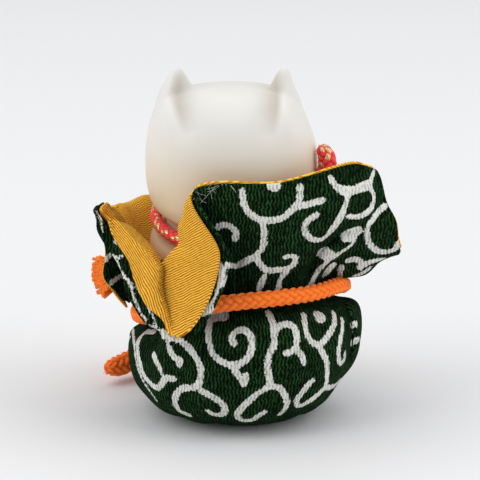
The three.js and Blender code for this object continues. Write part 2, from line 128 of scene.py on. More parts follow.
print("the waist cord is", cord_width, "mm thick and the collar", collar_width, "mm")

# %% Curves through points
def curve(first, last, start, end, t):
    """A cubic from first to last that sets off along start and arrives along end."""
    return ((2 * t**3 - 3 * t**2 + 1) * first + (t**3 - 2 * t**2 + t) * start
            + (3 * t**2 - 2 * t**3) * last + (t**3 - t**2) * end)


def smooth_route(points, per_span=24):
    """A centripetal curve through the points."""
    points = np.asarray(points, float)
    padded = np.concatenate([2 * points[:1] - points[1:2], points, 2 * points[-1:] - points[-2:-1]])
    counts = np.broadcast_to(per_span, len(points) - 1)
    route = []
    for count, a, b, c, d in zip(counts, padded, padded[1:], padded[2:], padded[3:]):
        before, here, after = [np.maximum(np.linalg.norm(q - p, axis=-1, keepdims=True), 1e-9) ** 0.5
                               for p, q in ((a, b), (b, c), (c, d))]
        start = ((b - a) / before - (c - a) / (before + here) + (c - b) / here) * here
        end = ((c - b) / here - (d - b) / (here + after) + (d - c) / after) * here
        t = np.linspace(0, 1, count, endpoint=False).reshape(-1, *[1] * b.ndim)
        route.append(curve(b, c, start, end, t))
    return np.concatenate(route + [points[-1:]])


def run_along(route):
    """How far along the route each of its points lies."""
    return np.r_[0, np.cumsum(np.linalg.norm(np.diff(route, axis=0), axis=1))]


def even(route, step):
    """The same route with points at even distances."""
    run = run_along(route)
    at = np.linspace(0, run[-1], max(4, int(run[-1] / step)))
    return np.stack([np.interp(at, run, axis) for axis in route.T], -1)


def length_of(route):
    return float(np.linalg.norm(np.diff(route, axis=0), axis=1).sum())


def unit(vectors):
    """The same directions with length one."""
    return vectors / np.maximum(np.linalg.norm(vectors, axis=-1, keepdims=True), 1e-9)


def rise(values, start, width):
    """Nothing up to start, one from start + width on, and an even slope between."""
    return np.clip((values - start) / width, 0, 1)


def hump(distance, reach):
    """One at no distance, and next to nothing beyond twice the reach."""
    return np.exp(-((distance / reach) ** 2))


print("a straight route of 10 mm measures", length_of(smooth_route([(0, 0, 0), (10, 0, 0)])), "mm")

# %% Routes round the waist
knot_angle = math.radians(270)
knot_turn = math.radians(11)
knot_stand = 0.55 * cord_width
end_lift = 0.9
end_lift_angle = math.radians(360 + 160)
end_lift_reach = math.radians(22)
knot_place = on_bag(np.array(knot_angle), cord_radius, cord_height(knot_angle, cord_radius))
knot_place = knot_place + np.array([0, -knot_stand, 0])
wrap_angles = np.linspace(knot_angle + knot_turn, knot_angle + 2 * math.pi - knot_turn, 400)
wrap_route = on_bag(wrap_angles, cord_radius, cord_height(wrap_angles, cord_radius))
wrap_route[:, 2] += end_lift * hump(wrap_angles - end_lift_angle, end_lift_reach)
upper_steps = [(0.69, -0.5, 0.35), (1.2, -1.4, 0.87), (3, -1.83, 0.83), (5.25, -1.13, 0.92),
               (7.2, 0.93, 1.02)]
lower_steps = [(0.49, -0.33, -0.63), (0.83, -0.9, -1.6), (2.25, -1.65, -2.65), (4.25, -1.28, -3.65),
               (5.7, 0.13, -4.1), (6.6, 1.08, -4.35)]
upper_route, lower_route = [smooth_route([knot_place + cord_width * np.array(step) for step in steps])
                            for steps in (upper_steps, lower_steps)]
print("the tails are", [round(length_of(route), 1) for route in (upper_route, lower_route)], "mm long")

# %% Routes of the collar
collar_knot_angle = math.radians(176)
collar_knot_turn = math.radians(9)
collar_knot_stand = 1.4
cheek_side = -21.5


def collar_ring(angle):
    y = collar_radius * np.sin(angle)
    return np.stack([collar_radius * np.cos(angle), y, collar_base + collar_slope * y], -1)


collar_angles = np.linspace(collar_knot_angle + collar_knot_turn,
                            collar_knot_angle + 2 * math.pi - collar_knot_turn, 320)
collar_route = collar_ring(collar_angles)
collar_knot_place = collar_ring(np.array(collar_knot_angle)) + np.array([-collar_knot_stand, 0, 0])
kx, ky, kz = collar_knot_place
rising_route = smooth_route([(cheek_side - 0.2, ky + 0.6, kz + 2.6), (cheek_side - 0.2, ky + 3, 52.8),
                             (cheek_side + 0.4, ky + 5.4, 57.4)])
resting_route = smooth_route([(kx - 1.2, ky - 3.3, kz - 1.6), (kx - 1.6, ky - 5.2, kz - 3),
                              (kx - 1, ky - 8.2, kz - 4.2)])
print("collar knot at", np.round(collar_knot_place, 1))

# %% [markdown]
# ## Helpers for meshes
# A piece made from numbers gets its points, faces and per-point values in one call. A piece made with
# operators starts from a primitive, and since an operator acts on all that is selected, everything is
# deselected first. At the end each piece's place is put into its mesh, so its object sits at the origin.

# %% Mesh helpers
def piece_from(name, points, faces, values):
    """A new smooth object from points in millimetres, with named values on its points."""
    mesh = bpy.data.meshes.new(name)
    mesh.from_pydata((np.asarray(points) * mm).tolist(), [], faces)
    for label, numbers in values.items():
        put_values(mesh, label, numbers)
    mesh.shade_smooth()
    mesh.update()
    piece = bpy.data.objects.new(name, mesh)
    bpy.context.scene.collection.objects.link(piece)
    return piece


def put_values(mesh, label, numbers):
    """Stores one number for each point under a name that a finish can read."""
    layer = mesh.attributes.new(label, "FLOAT", "POINT")
    layer.data.foreach_set("value", np.asarray(numbers, np.float32).ravel())


def points_of(piece):
    return np.array([v.co for v in piece.data.vertices]) / mm


def put_points(piece, points):
    piece.data.vertices.foreach_set("co", (points * mm).ravel())


def grid_faces(rows, columns):
    """Four-sided faces of a grid whose rows close on themselves."""
    r, c = np.meshgrid(np.arange(rows - 1), np.arange(columns), indexing="ij")
    d = (c + 1) % columns
    corners = [r * columns + c, r * columns + d, (r + 1) * columns + d, (r + 1) * columns + c]
    return np.stack(corners, -1).reshape(-1, 4).tolist()


def fan(middle, ring, turned=False):
    """Triangles from a middle point to a ring of points."""
    corners = (np.roll(ring, -1), ring) if turned else (ring, np.roll(ring, -1))
    return np.stack([np.full(len(ring), middle), *corners], -1).tolist()


print("two rings of four points make", len(grid_faces(2, 4)), "faces")

# %% Helpers for operators
def only(piece):
    """Makes one object the selected and active one."""
    if bpy.context.mode != "OBJECT":
        bpy.ops.object.mode_set(mode="OBJECT")
    bpy.ops.object.select_all(action="DESELECT")
    piece.select_set(True)
    bpy.context.view_layer.objects.active = piece
    return piece


def started(name):
    """Names the primitive that was just added."""
    piece = bpy.context.active_object
    piece.name = name
    piece.data.name = name
    return only(piece)


def with_modifier(piece, kind, **settings):
    """Adds a modifier and applies it."""
    only(piece)
    modifier = piece.modifiers.new(kind.lower(), kind)
    for key, value in settings.items():
        setattr(modifier, key, value)
    bpy.ops.object.modifier_apply(modifier=modifier.name)


def settled(piece):
    """Puts the object's place, turn and size into its mesh."""
    only(piece)
    bpy.ops.object.transform_apply(location=True, rotation=True, scale=True)
    return piece


def joined(name, pieces):
    only(pieces[0])
    for piece in pieces:
        piece.select_set(True)
    bpy.ops.object.join()
    return started(name)


def dressed(finish, *pieces):
    """Gives pieces one material in place of what they had."""
    for piece in pieces:
        piece.data.materials.clear()
        piece.data.materials.append(finish)


def finished(piece, finish, slot, *nodes):
    """Gives a piece its material and its body, and hides the solids that it stands for. The slot is not used.
    """
    dressed(finish, piece)
    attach(piece, "figurine")
    if nodes:
        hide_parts(*nodes)
    print(piece.name, len(piece.data.polygons), "faces")


print("every new piece rides on the figurine")

# %% [markdown]
# ## A small language for finishes
# Node trees are easier to read as sums. A Signal wraps one socket, so that an expression such as
# 1 - mask adds the Math nodes it needs. Every other node comes from the one method node, which takes its
# type, its settings and the values or links of its sockets.

# %% Signal
def rgba(colour):
    """Adds the opacity to a colour of three numbers. A link stays as it is."""
    return colour if isinstance(colour, Signal) else (*colour, 1)


class Signal:
    def __init__(self, tree, socket=None):
        self.tree = tree
        self.socket = socket

    def node(self, kind, settings=None, out=0, **sockets):
        made = self.tree.nodes.new("ShaderNode" + kind)
        for key, value in (settings or {}).items():
            setattr(made, key, value)
        for key, value in sockets.items():
            place = int(key[1:]) if key[0] == "i" and key[1:].isdigit() else key.replace("_", " ")
            socket = made.inputs[place]
            if isinstance(value, Signal):
                self.tree.links.new(value.socket, socket)
            else:
                socket.default_value = value
        return Signal(self.tree, made.outputs[out])

    def math(self, operation, *others):
        sockets = {"i" + str(i): value for i, value in enumerate([self, *others])}
        return self.node("Math", {"operation": operation}, **sockets)

    def __add__(self, other):
        return self.math("ADD", other)

    def __mul__(self, other):
        return self.math("MULTIPLY", other)

    def __sub__(self, other):
        return self.math("SUBTRACT", other)

    def __rsub__(self, other):
        return self * -1 + other

    __radd__ = __add__
    __rmul__ = __mul__

    def sine(self):
        return self.math("SINE")

    def size(self):
        return self.math("ABSOLUTE")

    def clipped(self):
        return self.math("MAXIMUM", 0.0).math("MINIMUM", 1.0)

    def ramp(self, low, high, to_low=0.0, to_high=1.0):
        """A smooth step from to_low at low to to_high at high."""
        return self.node("MapRange", {"interpolation_type": "SMOOTHSTEP"},
                         i0=self, i1=low, i2=high, i3=to_low, i4=to_high)

    def mixed(self, first, second):
        """A colour between two, with this signal as the share of the second."""
        return self.node("Mix", {"data_type": "RGBA"}, out=2, i0=self, i6=rgba(first), i7=rgba(second))

    def shade(self, colour):
        """A colour multiplied by this signal."""
        return self.node("VectorMath", {"operation": "SCALE"}, i0=colour, Scale=self)

    def bump(self, strength, distance):
        """The surface's direction when this signal is its height."""
        return self.node("Bump", Height=self, Strength=strength, Distance=distance)


def start_finish(name):
    """A new material, and the signal of a point's place in its object."""
    material = bpy.data.materials.new(name)
    material.use_nodes = True
    material.node_tree.nodes.clear()
    return material, Signal(material.node_tree).node("TexCoord", out=3)


def end_finish(place, **sockets):
    """The surface shader and the output of a finish."""
    surface = place.node("BsdfPrincipled", **sockets)
    output = place.tree.nodes.new("ShaderNodeOutputMaterial")
    place.tree.links.new(surface.socket, output.inputs["Surface"])


def value_of(place, label):
    return place.node("Attribute", {"attribute_name": label}, out=2)


def in_mm(place, axis):
    return place.node("SeparateXYZ", out=axis, Vector=place) * 1000.0


def noise(place, scale, detail=2.0, rough=0.55):
    return place.node("TexNoise", Vector=place, Scale=scale, Detail=detail, Roughness=rough)


print("finishes can be written as sums")

# %% [markdown]
# ## The cloth's shape
# The bag is one lined square of crepe. It lies flat under the dog, swells, is drawn in by the cord and
# fans out above it, where its edge turns over in loose folds. Such a form is easiest to hold as ribs:
# each says where the cloth turns over (its crest) and where it ends (its hem), as degrees of turn,
# reach beyond the waist and rise above it. Smooth curves run from rib to rib and from foot to hem.

# %% Ribs of the cloth
waist_radius = 20.45
foot_radius = 12
foot_height = 0.95
belly_radius = 26.1
belly_height = 15
groove_depth = 3
groove_half = 5.3
band_half = 2.3
pleat_depth = 0.8
sway = -0.8
ribs = np.array([
    (5, -3, 6, 18.6, -4, 7.8, 25.4),
    (26, -6.7, 11.3, 20, -6.6, 14.1, 27.3),
    (46, -13, 8.2, 20.5, -11.7, 11.5, 17.1),
    (65, -13.7, 7.8, 12.3, 0, 13.2, -3.3),
    (80, -21.2, 4.7, 20.5, 1.2, 8.8, 13.2),
    (92, -25.4, 3.2, 22.6, -25.4, 4.8, 27.1),
    (114, -4.8, 4, 17.5, -3.6, 2.4, 26.2),
    (142, 7.5, 9.1, 19.6, 18.2, 10.5, 29.6),
    (165, 2.5, 10.6, 7.9, 5.6, 16.2, 10.3),
    (186, 0.3, 6.8, 7.5, 0.9, 8.8, 11.5),
    (208, 1.1, 6.8, 14.1, 0.3, 10.8, 18.7),
    (236, -2, 8.4, 15.9, -2.1, 17, 8.9),
    (264, 1.4, 5.8, 14.2, 1, 9.3, 17.2),
    (298, -0.5, 6.3, 16.7, 0.6, 12.2, 18.5),
    (314, 0, 7.8, 19.7, 4.9, 12.5, 9.7),
    (332, 5.5, 8.7, 20.3, 10.2, 7.8, -1.1),
    (350, 1.2, 6.4, 21, 2.1, 11.8, 19.2),
])
per_rib = 24
columns = len(ribs) * per_rib
rib_place = np.arange(columns) / per_rib


def round_ribs(values, per_turn=0.0):
    """A smooth value at every column, from one value for each rib."""
    values = np.asarray(values, float)
    first = np.floor(rib_place).astype(int)
    a, b, c, d = [values[(first + step) % len(ribs)] + per_turn * ((first + step) // len(ribs))
                  for step in (-1, 0, 1, 2)]
    return curve(b, c, (c - a) / 2, (d - b) / 2, rib_place - first)


print(len(ribs), "ribs,", columns, "columns of cloth")

# %% From foot to hem
column_angle = np.radians(round_ribs(ribs[:, 0], 360))
waist_height = cord_height(column_angle, waist_radius)
pleat = 0.5 + 0.5 * np.cos(2 * math.pi * rib_place)
neckline = waist_radius + groove_depth + pleat_depth * pleat
upper_belly = (belly_height + waist_height - groove_half) / 2
zero = np.zeros(columns)
belly_steps = [
    (zero, foot_height + zero, 0),
    (foot_radius + zero, foot_height + zero, -0.5),
    (belly_radius - 6.4 + zero, foot_height + 2.6 + zero, -0.6),
    (belly_radius - 1.8 + zero, foot_height + 7.6 + zero, 0),
    (belly_radius - 0.3 + 0.5 * pleat_depth * pleat, upper_belly, 1),
    (neckline, waist_height - groove_half, 0.5),
    (waist_radius + zero, waist_height - band_half, 0),
    (waist_radius + zero, waist_height + band_half, 0),
]
belly = np.array([on_bag(column_angle, radius, height, share * sway)
                  for radius, height, share in belly_steps])
pouch_rows = [14, 13, 11, 12, 13, 7, 8]
pouch = smooth_route(belly, pouch_rows)


def reached(turn, reach, up):
    """The places at a turn, a reach beyond the waist and a height above it, round all ribs."""
    angle = column_angle + np.radians(round_ribs(turn))
    height = cord_height(angle, waist_radius) + round_ribs(up)
    return on_bag(angle, waist_radius + round_ribs(reach), height)


mouth = belly[-1]
crest = reached(*ribs.T[1:4])
hem = reached(*ribs.T[4:7])
rising = np.zeros((columns, 3))
rising[:, 2] = np.linalg.norm(crest - mouth, axis=1)
outward = (hem - mouth) / 2
rows_up = 26
steps = np.arange(1, rows_up + 1) / rows_up
going_up = [curve(mouth, crest, rising, outward, t) for t in steps]
going_over = [curve(crest, hem, outward, hem - crest, t) for t in steps]
surface = np.concatenate([pouch, going_up, going_over])
rows = len(surface)
waist_row = len(pouch) - 1
crest_row = waist_row + rows_up
print(rows, "rows; the band ends at row", waist_row, "and the crest is at row", crest_row)

# %% [markdown]
# ## Folds, gathers and two faces
# The smooth form is only the cloth's big shape. The cord presses pleats into it, which fade above and
# below, and handling leaves slow waves. Both are small moves along the surface's own direction. The
# crepe then stands a little outside the shared surface and the lining a little inside it. Near the hem
# one of the two often shows beyond the other, so each is carried on past it by its own amount.

# %% Directions and soft waves
row_index = np.arange(rows)[:, None]
around = column_angle[None, :]
gather_reach = 6.5
gather_depth = 0.25
wave_height = 0.16
wave_start = 8
foot_rows = 30


def directions(points):
    """The outward direction at each point of the grid."""
    round_it = np.roll(points, -1, axis=1) - np.roll(points, 1, axis=1)
    up_it = np.gradient(points, axis=0)
    across = np.cross(round_it, up_it)
    across[:3] = (0, 0, -1)
    return unit(across)


def climb(points):
    """How far up its column each point of the grid lies."""
    return np.vstack([zero, np.linalg.norm(np.diff(points, axis=0), axis=2).cumsum(axis=0)])


def smoothed(points, share=0.5):
    """Evens out the grid, but not its pole and its hem."""
    middle = (np.roll(points, -1, axis=1) + np.roll(points, 1, axis=1)) / 4
    middle[1:-1] += (points[2:] + points[:-2]) / 4
    points[1:-1] += share * (middle[1:-1] - points[1:-1])
    return points


up_from_waist = climb(surface)
up_from_waist = up_from_waist - up_from_waist[waist_row - 4]
# Counts round the bag that share no factor make gathers and waves of uneven width.
gather = (np.sin(31 * around + 1.7 * np.sin(5 * around))
          + 0.7 * np.sin(47 * around + 2.1 * np.sin(3 * around + 1)) + 0.5 * np.sin(19 * around + 0.4))
wave = (np.sin(7 * around + 0.16 * up_from_waist + 0.8) + np.sin(11 * around - 0.21 * up_from_waist + 2)
        + 0.6 * np.sin(17 * around + 0.3 * up_from_waist))
pleats = -gather_depth * (1.2 + gather) * hump(up_from_waist, gather_reach)
swell = np.clip(up_from_waist / wave_start, -1, 1) ** 2 * rise(row_index, 0, foot_rows)
surface += directions(surface) * (pleats + wave_height * wave * swell)[..., None]
print("the cloth is", round(float(up_from_waist[-1].max() - up_from_waist[0].min()), 1), "mm long at most")

# %% [markdown]
# ## Shaping
# The ribs give the folds their places, and the rest is shaped as with a sculpting brush. One brush drags
# cloth sideways in the picture and another presses a crease or raises a roll along a line. Each brush
# works only on the part of the cloth that it names, so that what lies behind stays where it is.

# %% Brushes
toward_camera = np.array(backward)
right_way = np.array(sideways)
up_way = np.array(upward)
px_mm = lens_pixels / (distance / mm)
soft_ribs = 0.5
soft_rows = 4


def part_of_cloth(first_rib, last_rib, first_row=0, last_row=10_000):
    """One on a stretch of the cloth, from rib to rib and from row to row, and nothing beyond it."""
    middle = (first_rib + last_rib) / 2
    half = (last_rib - first_rib) / 2
    away = np.abs((rib_place - middle + len(ribs) / 2) % len(ribs) - len(ribs) / 2)
    from_below = rise(row_index, first_row - soft_rows, soft_rows)
    from_above = rise(-row_index, -last_row - soft_rows, soft_rows)
    return from_below * from_above * rise(-away, -half - soft_ribs, soft_ribs)[None, :]


def drag(points, part, moves):
    """Drags cloth: each move is (x, y, right, down, reach), in pixels of the picture."""
    for x, y, right, down, reach in moves:
        weight = part * hump(np.linalg.norm(in_picture(points * mm) - (x, y), axis=-1), reach)
        points = points + weight[..., None] * (right * right_way - down * up_way) / px_mm
    return points


def beside(points, line):
    """The distance in the picture from a line, positive to the right of one that runs down, and how
    far along it the nearest place is, as a share."""
    line = even(smooth_route(line, 12), 1.0)
    flat = in_picture(points * mm).reshape(-1, 2)
    away = np.linalg.norm(flat[:, None, :] - line[None, :, :], axis=-1)
    nearest = away.argmin(axis=1)
    ahead = np.gradient(line, axis=0)[nearest]
    offset = flat - line[nearest]
    side = np.sign(offset[:, 0] * ahead[:, 1] - offset[:, 1] * ahead[:, 0])
    shape = points.shape[:-1]
    return (away.min(axis=1) * side).reshape(shape), (nearest / (len(line) - 1)).reshape(shape)


def crease(points, part, line, depth, wide, fade=0.15):
    """Presses a soft valley, or with a negative depth raises a ridge, along a line in the picture."""
    away, along = beside(points, line)
    weight = part * rise(along, 0, fade) * rise(1 - along, 0, fade) * hump(away, wide)
    return points - weight[..., None] * depth * toward_camera


print("one pixel is", round(1 / px_mm, 3), "mm at the ornament")

# %% Shape the roll, the flap and the panel
flap_part = part_of_cloth(0.1, 4.9, crest_row - 10)
leaf_part = part_of_cloth(14.2, 16.1, crest_row + 4)
far_wall_part = part_of_cloth(13.2, 16.2, waist_row + 12)
panel_part = part_of_cloth(5, 8.6, waist_row + 4)
belly_part = part_of_cloth(2, 9, 10, waist_row - 2)
cloth_drags = [
    (far_wall_part, [(145, 213, 0, -13, 20), (122, 219, 0, -8, 12)]),
    (leaf_part, [(113, 276, -11, 1, 19), (121, 300, -1, 0, 10), (122, 308, 3, -4, 7)]),
    (flap_part, [(95, 200, 4, 7, 12), (96, 228, 4, 0, 10), (119, 204, -8, 6, 10), (124, 262, 2, 0, 14),
                 (156, 320, 5, -2, 15), (176, 242, 7, 3, 12), (163, 256, -2, 6, 9)]),
    (panel_part, [(384, 184, -1, 3, 14), (368, 161, 0, 4, 10), (360, 268, 3, 9, 13), (403, 238, -3, 3, 12),
                  (343, 273, 0, 6, 12), (388, 204, -5, 1, 15)]),
    (belly_part, [(351, 306, 6, -6, 14), (348, 392, -6, -4, 24)]),
]
for part, moves in cloth_drags:
    surface = drag(surface, part, moves)
print(sum(len(moves) for _, moves in cloth_drags), "drags of the cloth")

# %% Press the folds and raise the roll
roll_height = 1.1
roll_back = 7.5
roll_wide = 6.5
valley_depth = 2.9
valley_wide = 11
roll_edge = [(112, 212), (130, 235), (150, 255), (159, 266), (159.5, 285), (161, 297), (165.6, 311),
             (170, 328), (174.8, 337)]
cloth_creases = [
    (flap_part, [(155, 259), (160, 264), (163, 272)], -1.3, 4, 0.4),
    (panel_part, [(347, 226), (332, 238), (319, 251), (309, 268), (303, 284)], 2.8, 5),
    (panel_part, [(352, 236), (340, 247), (330, 262), (322, 280)], -0.9, 4.5),
    (panel_part, [(226, 283), (238, 268), (243, 250)], 1.0, 5),
    (belly_part, [(337, 292), (345, 312), (349.5, 333), (348, 350), (344, 366)], 1.7, 3.2),
    (belly_part, [(350, 296), (356, 315), (357, 335), (352, 356)], -0.7, 4),
    (belly_part, [(203, 318), (196, 335), (193, 352)], 0.5, 6),
]
edge_away, edge_along = beside(surface, roll_edge)
below_notch = rise(edge_along, 0.42, 0.06) * rise(1.0 - edge_along, 0, 0.25)
valley = np.where(edge_away > 0, rise(edge_away, 0, 1.2) * np.exp(-edge_away / valley_wide), 0) * below_notch
roll = hump(edge_away + roll_back, roll_wide) * rise(1.05 - edge_along, 0, 0.3)
surface = surface + (flap_part * (roll_height * roll - valley_depth * valley))[..., None] * toward_camera
for part, line, *press in cloth_creases:
    surface = crease(surface, part, line, *press)
print("the roll stands", roll_height, "mm proud and the fold beside it is pressed in by", valley_depth, "mm")

# %% Faces of the two layers
crepe_offset = 0.9
lining_offset = -0.8
cloth_thick = 0.62
fine_rows = 12


def extended(points, extra, count):
    """Carries the grid on past its hem, by an extra length for each column."""
    ahead = unit(points[-1] - points[-4])
    steps = np.arange(1, count + 1)[:, None, None] / count
    return np.concatenate([points, points[-1] + ahead * extra[:, None] * steps])


def by_place(pairs):
    """A value for each column from pairs of rib angle and value."""
    marks = np.array(pairs, float)
    return np.interp(np.degrees(column_angle) % 360, marks[:, 0], marks[:, 1], left=0, right=0)


def shell(name, face, backing, values):
    """A closed layer: a fine face, a rounded hem, and a back that is coarser away from the hem."""
    count = len(face)
    behind = directions(face) * backing
    rim = face[-1] + behind[-1] / 2 + unit(face[-1] - face[-2]) * abs(backing) / 2
    back_rows = np.r_[np.arange(2, count - fine_rows, 4), np.arange(count - fine_rows, count)][::-1]
    grid = np.concatenate([face[1:], [rim], (face + behind)[back_rows]])
    pole = len(grid) * columns
    points = np.concatenate([grid.reshape(-1, 3), [face[0, 0], face[0, 0] - (0, 0, backing)]])
    ring = np.arange(columns)
    faces = grid_faces(len(grid), columns) + fan(pole, ring, True) + fan(pole + 1, pole - columns + ring)
    if backing > 0:
        faces = [one[::-1] for one in faces]
    spread = {}
    for label, numbers in values.items():
        whole = np.concatenate([numbers[1:], numbers[-1:], numbers[back_rows]])
        spread[label] = np.r_[whole.ravel(), numbers[0, 0], numbers[0, 0]]
    return piece_from(name, points, faces, spread)


crepe_extra = 0.3 + by_place([(20, 0), (26, 0.7), (46, 3.2), (56, 4.6), (62, 3), (65, 0.6), (70, 1.2),
                              (80, 2.2), (90, 0.8), (94, 0.1)])
lining_extra = 0.25 + by_place([(88, 0), (94, 0.4), (165, 0.5), (172, 0), (310, 0), (314, 0.5), (330, 0.6),
                                (336, 0)])
both = smoothed(surface)
crepe_grid = extended(both + directions(both) * crepe_offset, crepe_extra, 6)
lining_grid = extended(both + directions(both) * lining_offset, lining_extra, 3)
print("crepe grid", crepe_grid.shape[:2], "lining grid", lining_grid.shape[:2])

# %% [markdown]
# ## The vine scroll
# The crepe is printed with the old running vine pattern, in white on green. Where the photograph shows
# the cloth, each stroke is given as a line in the picture, and lines of sight carry it onto the cloth.
# Where it doesn't, curls grow over the surface like vines: each sets off in a direction and bends ever
# more. Every point of the cloth then keeps its distance from the nearest stroke's edge, and the finish
# turns that one number into ragged ink.

# %% Strokes that the picture shows, as places in it
panel_strokes = [
    [(242, 190), (244, 204), (250, 214), (263, 220), (280, 219), (291, 211), (299, 201), (300, 186)],
    [(294, 207), (306, 205), (323, 200)],
    [(262, 221), (264, 229), (264, 239), (262, 249), (255, 256)],
    [(255, 256), (246, 261), (236, 266), (228, 265)],
    [(255, 256), (260, 264), (266, 270), (277, 270), (288, 268), (295, 263), (296, 258), (292, 256),
     (285, 257)],
    [(217, 228), (222, 225), (231, 227), (236, 232), (235, 239)],
    [(317, 215), (311, 218), (305, 225), (305, 232), (312, 239), (320, 240), (330, 233), (339, 222),
     (344, 211), (347, 198), (346, 193)],
    [(332, 181), (337, 188), (346, 193), (358, 190), (370, 186), (371, 180)],
    [(330, 177), (337, 187), (344, 189), (353, 189), (362, 185), (370, 182), (372.5, 175), (373.6, 172)],
    [(371, 188), (374, 198), (371, 208), (363, 215), (353, 217), (349, 216)],
    [(345, 191), (347, 200), (341.5, 212), (336, 223), (330, 231)],
    [(385, 206), (379, 211), (374, 218), (368.5, 226), (367, 235), (369, 243), (376, 250), (386, 252),
     (395, 249), (398, 243)],
    [(343, 236), (350, 231), (360, 231)],
    [(354, 238), (352, 244), (341.5, 252), (330, 258), (320, 250)],
    [(332, 257), (325, 264), (318, 271), (313, 281), (309, 289)],
    [(348, 261), (354, 259), (361, 262), (360, 268), (364, 265), (374, 261), (383, 259)],
    [(355, 276), (363, 273), (370, 268)],
    [(341, 267), (339, 281)],
    [(264, 277), (259, 289)],
    [(287, 272), (281, 278), (278, 291)],
]
panel_blots = [[(267, 184.5), (275, 185)], [(332, 266), (325, 273)], [(347, 236), (353, 233), (357, 231)],
               [(322, 252), (329, 256)]]
belly_strokes = [
    [(154, 332), (145.5, 332), (139, 339), (137.5, 350), (140, 364), (144, 375), (150, 383), (158, 388),
     (163, 382), (166, 378), (174, 379)],
    [(161.5, 372), (157.5, 364), (153.5, 355)],
    [(162, 331.5), (169, 338), (179, 340), (189, 348), (195, 356), (200, 366), (201, 375), (198, 385),
     (193, 388)],
    [(193, 388), (184, 388), (177, 393), (175, 402.5), (179, 410.5), (189, 415)],
    [(201, 391), (211, 396), (220.5, 402.5), (225, 409), (222, 414.5), (214, 414.5), (208, 411)],
    [(169, 342), (170, 350), (175, 358), (181, 361), (179, 365)],
    [(214, 313), (210, 323), (208.5, 334), (210, 345), (212.5, 353), (220.5, 361), (232, 365), (241, 363),
     (249, 356), (252, 345), (250, 335.5), (244, 330), (236, 331.5), (232, 338), (234, 343.5)],
    [(232, 365), (235, 371), (241, 379), (244, 384), (246, 375)],
    [(268, 312), (272, 321), (274, 334), (274, 345), (269, 355), (267.5, 366), (269, 377), (271, 386)],
    [(271, 386), (260, 392), (251, 399), (243, 407), (237, 415), (241, 420), (252, 420), (260, 415),
     (265, 412)],
    [(271, 386), (279.5, 388), (285, 396), (287, 404), (284, 410.5), (279.5, 414.5)],
    [(274, 331), (279.5, 326), (287.5, 324), (294, 327.5), (297, 337), (295.5, 347), (289, 353), (286, 353)],
    [(297, 350), (302, 356), (304, 363)],
    [(304, 315), (305, 324), (307, 334), (311, 341), (318, 345), (324, 341), (330.5, 332), (334.5, 323),
     (334, 313)],
    [(319, 347), (324, 355), (327, 363), (327, 374), (326, 385), (318, 394.5), (308, 402), (298, 406),
     (297, 399), (302, 393), (308, 385), (312, 381)],
    [(326, 388), (334, 386), (340, 380)],
    [(342, 320), (342.5, 327.5), (340, 342), (338.5, 353), (340, 363), (344, 361), (345, 353)],
    [(351, 325), (356, 324)],
    [(351, 343), (359, 339.5)],
]
belly_blots = [[(219, 313), (226, 315)], [(212, 316), (222, 316)], [(318, 315), (320, 317)]]
edge_strokes = [
    [(113.5, 255), (119, 257.5), (124, 256)],
    [(117, 258), (121, 268), (126, 277), (131.6, 285)],
    [(131, 286), (134, 297), (138, 307), (147, 321), (154, 331)],
    [(131, 286), (138, 288), (144.5, 298), (150.5, 309), (155, 320), (156.5, 331)],
    [(95, 212), (99, 222), (103, 232)],
    [(115.5, 240), (116.5, 245)],
]
band_strokes = [
    [(105, 262), (108, 257), (112, 254)],
    [(110.5, 283.5), (116, 279), (122.5, 275.5)],
]
strip_blots = [[(220, 265), (224, 274), (222, 283)], [(199, 312), (205, 312), (211, 309)]]
thin_strokes = [
    [(132, 322), (134, 342), (136.5, 363), (142, 379), (152, 394), (157, 401)],
    [(220, 284), (217, 296), (209, 308)],
]
print(sum(map(len, [panel_strokes, belly_strokes, band_strokes, thin_strokes])), "strokes in the picture")

# %% Carry the strokes onto the cloth
stroke_half = 0.68
belly_half = stroke_half * 1.06
band_half_width = 0.55
strip_half = 0.9
blot_half = 1.35
thin_half = 0.38
edge_half_px = (1.5, 1.5, 1.4, 1.5, 0.9, 1.2)
uneven_share = 0.14
longest_join = 3.0
join_step = 0.4
no_ink = 9.0
stamp_reach = 9
edge_ribs = (0.6, 4.2)
crepe_rows = len(crepe_grid)
crepe_tree = BVHTree.FromPolygons(crepe_grid.reshape(-1, 3).tolist(), grid_faces(crepe_rows, columns))
vine = np.full((crepe_rows, columns), no_ink)
reach_rows, reach_columns = np.mgrid[-stamp_reach:stamp_reach + 1, -stamp_reach:stamp_reach + 1]


def stamp(row, column, point, half):
    """Marks the grid near one point of a stroke with its distance from the stroke's edge."""
    r = np.clip(row + reach_rows, 0, crepe_rows - 1)
    c = (column + reach_columns) % columns
    away = np.linalg.norm(crepe_grid[r, c] - point, axis=-1) - half
    np.minimum.at(vine, (r, c), away)


def print_stroke(places_in_picture, half):
    """Stamps a stroke where the lines of sight meet the cloth, and joins the places that lie close."""
    last = None
    found = 0
    for step, (px, py) in enumerate(even(smooth_route(places_in_picture, 12), 0.6)):
        hit = crepe_tree.ray_cast(camera_place / mm, sight_line(px, py))[0]
        if hit is not None:
            swell_here = 1 + uneven_share * math.sin(0.41 * step + px)
            gap = (hit - last).length if last else 0.0
            parts = max(1, round(gap / join_step)) if gap < longest_join else 1
            for part in range(parts):
                spot, _, face, _ = crepe_tree.find_nearest(hit.lerp(last or hit, part / parts))
                stamp(face // columns, face % columns, np.array(spot), half * swell_here)
            found += 1
        last = hit
    return found


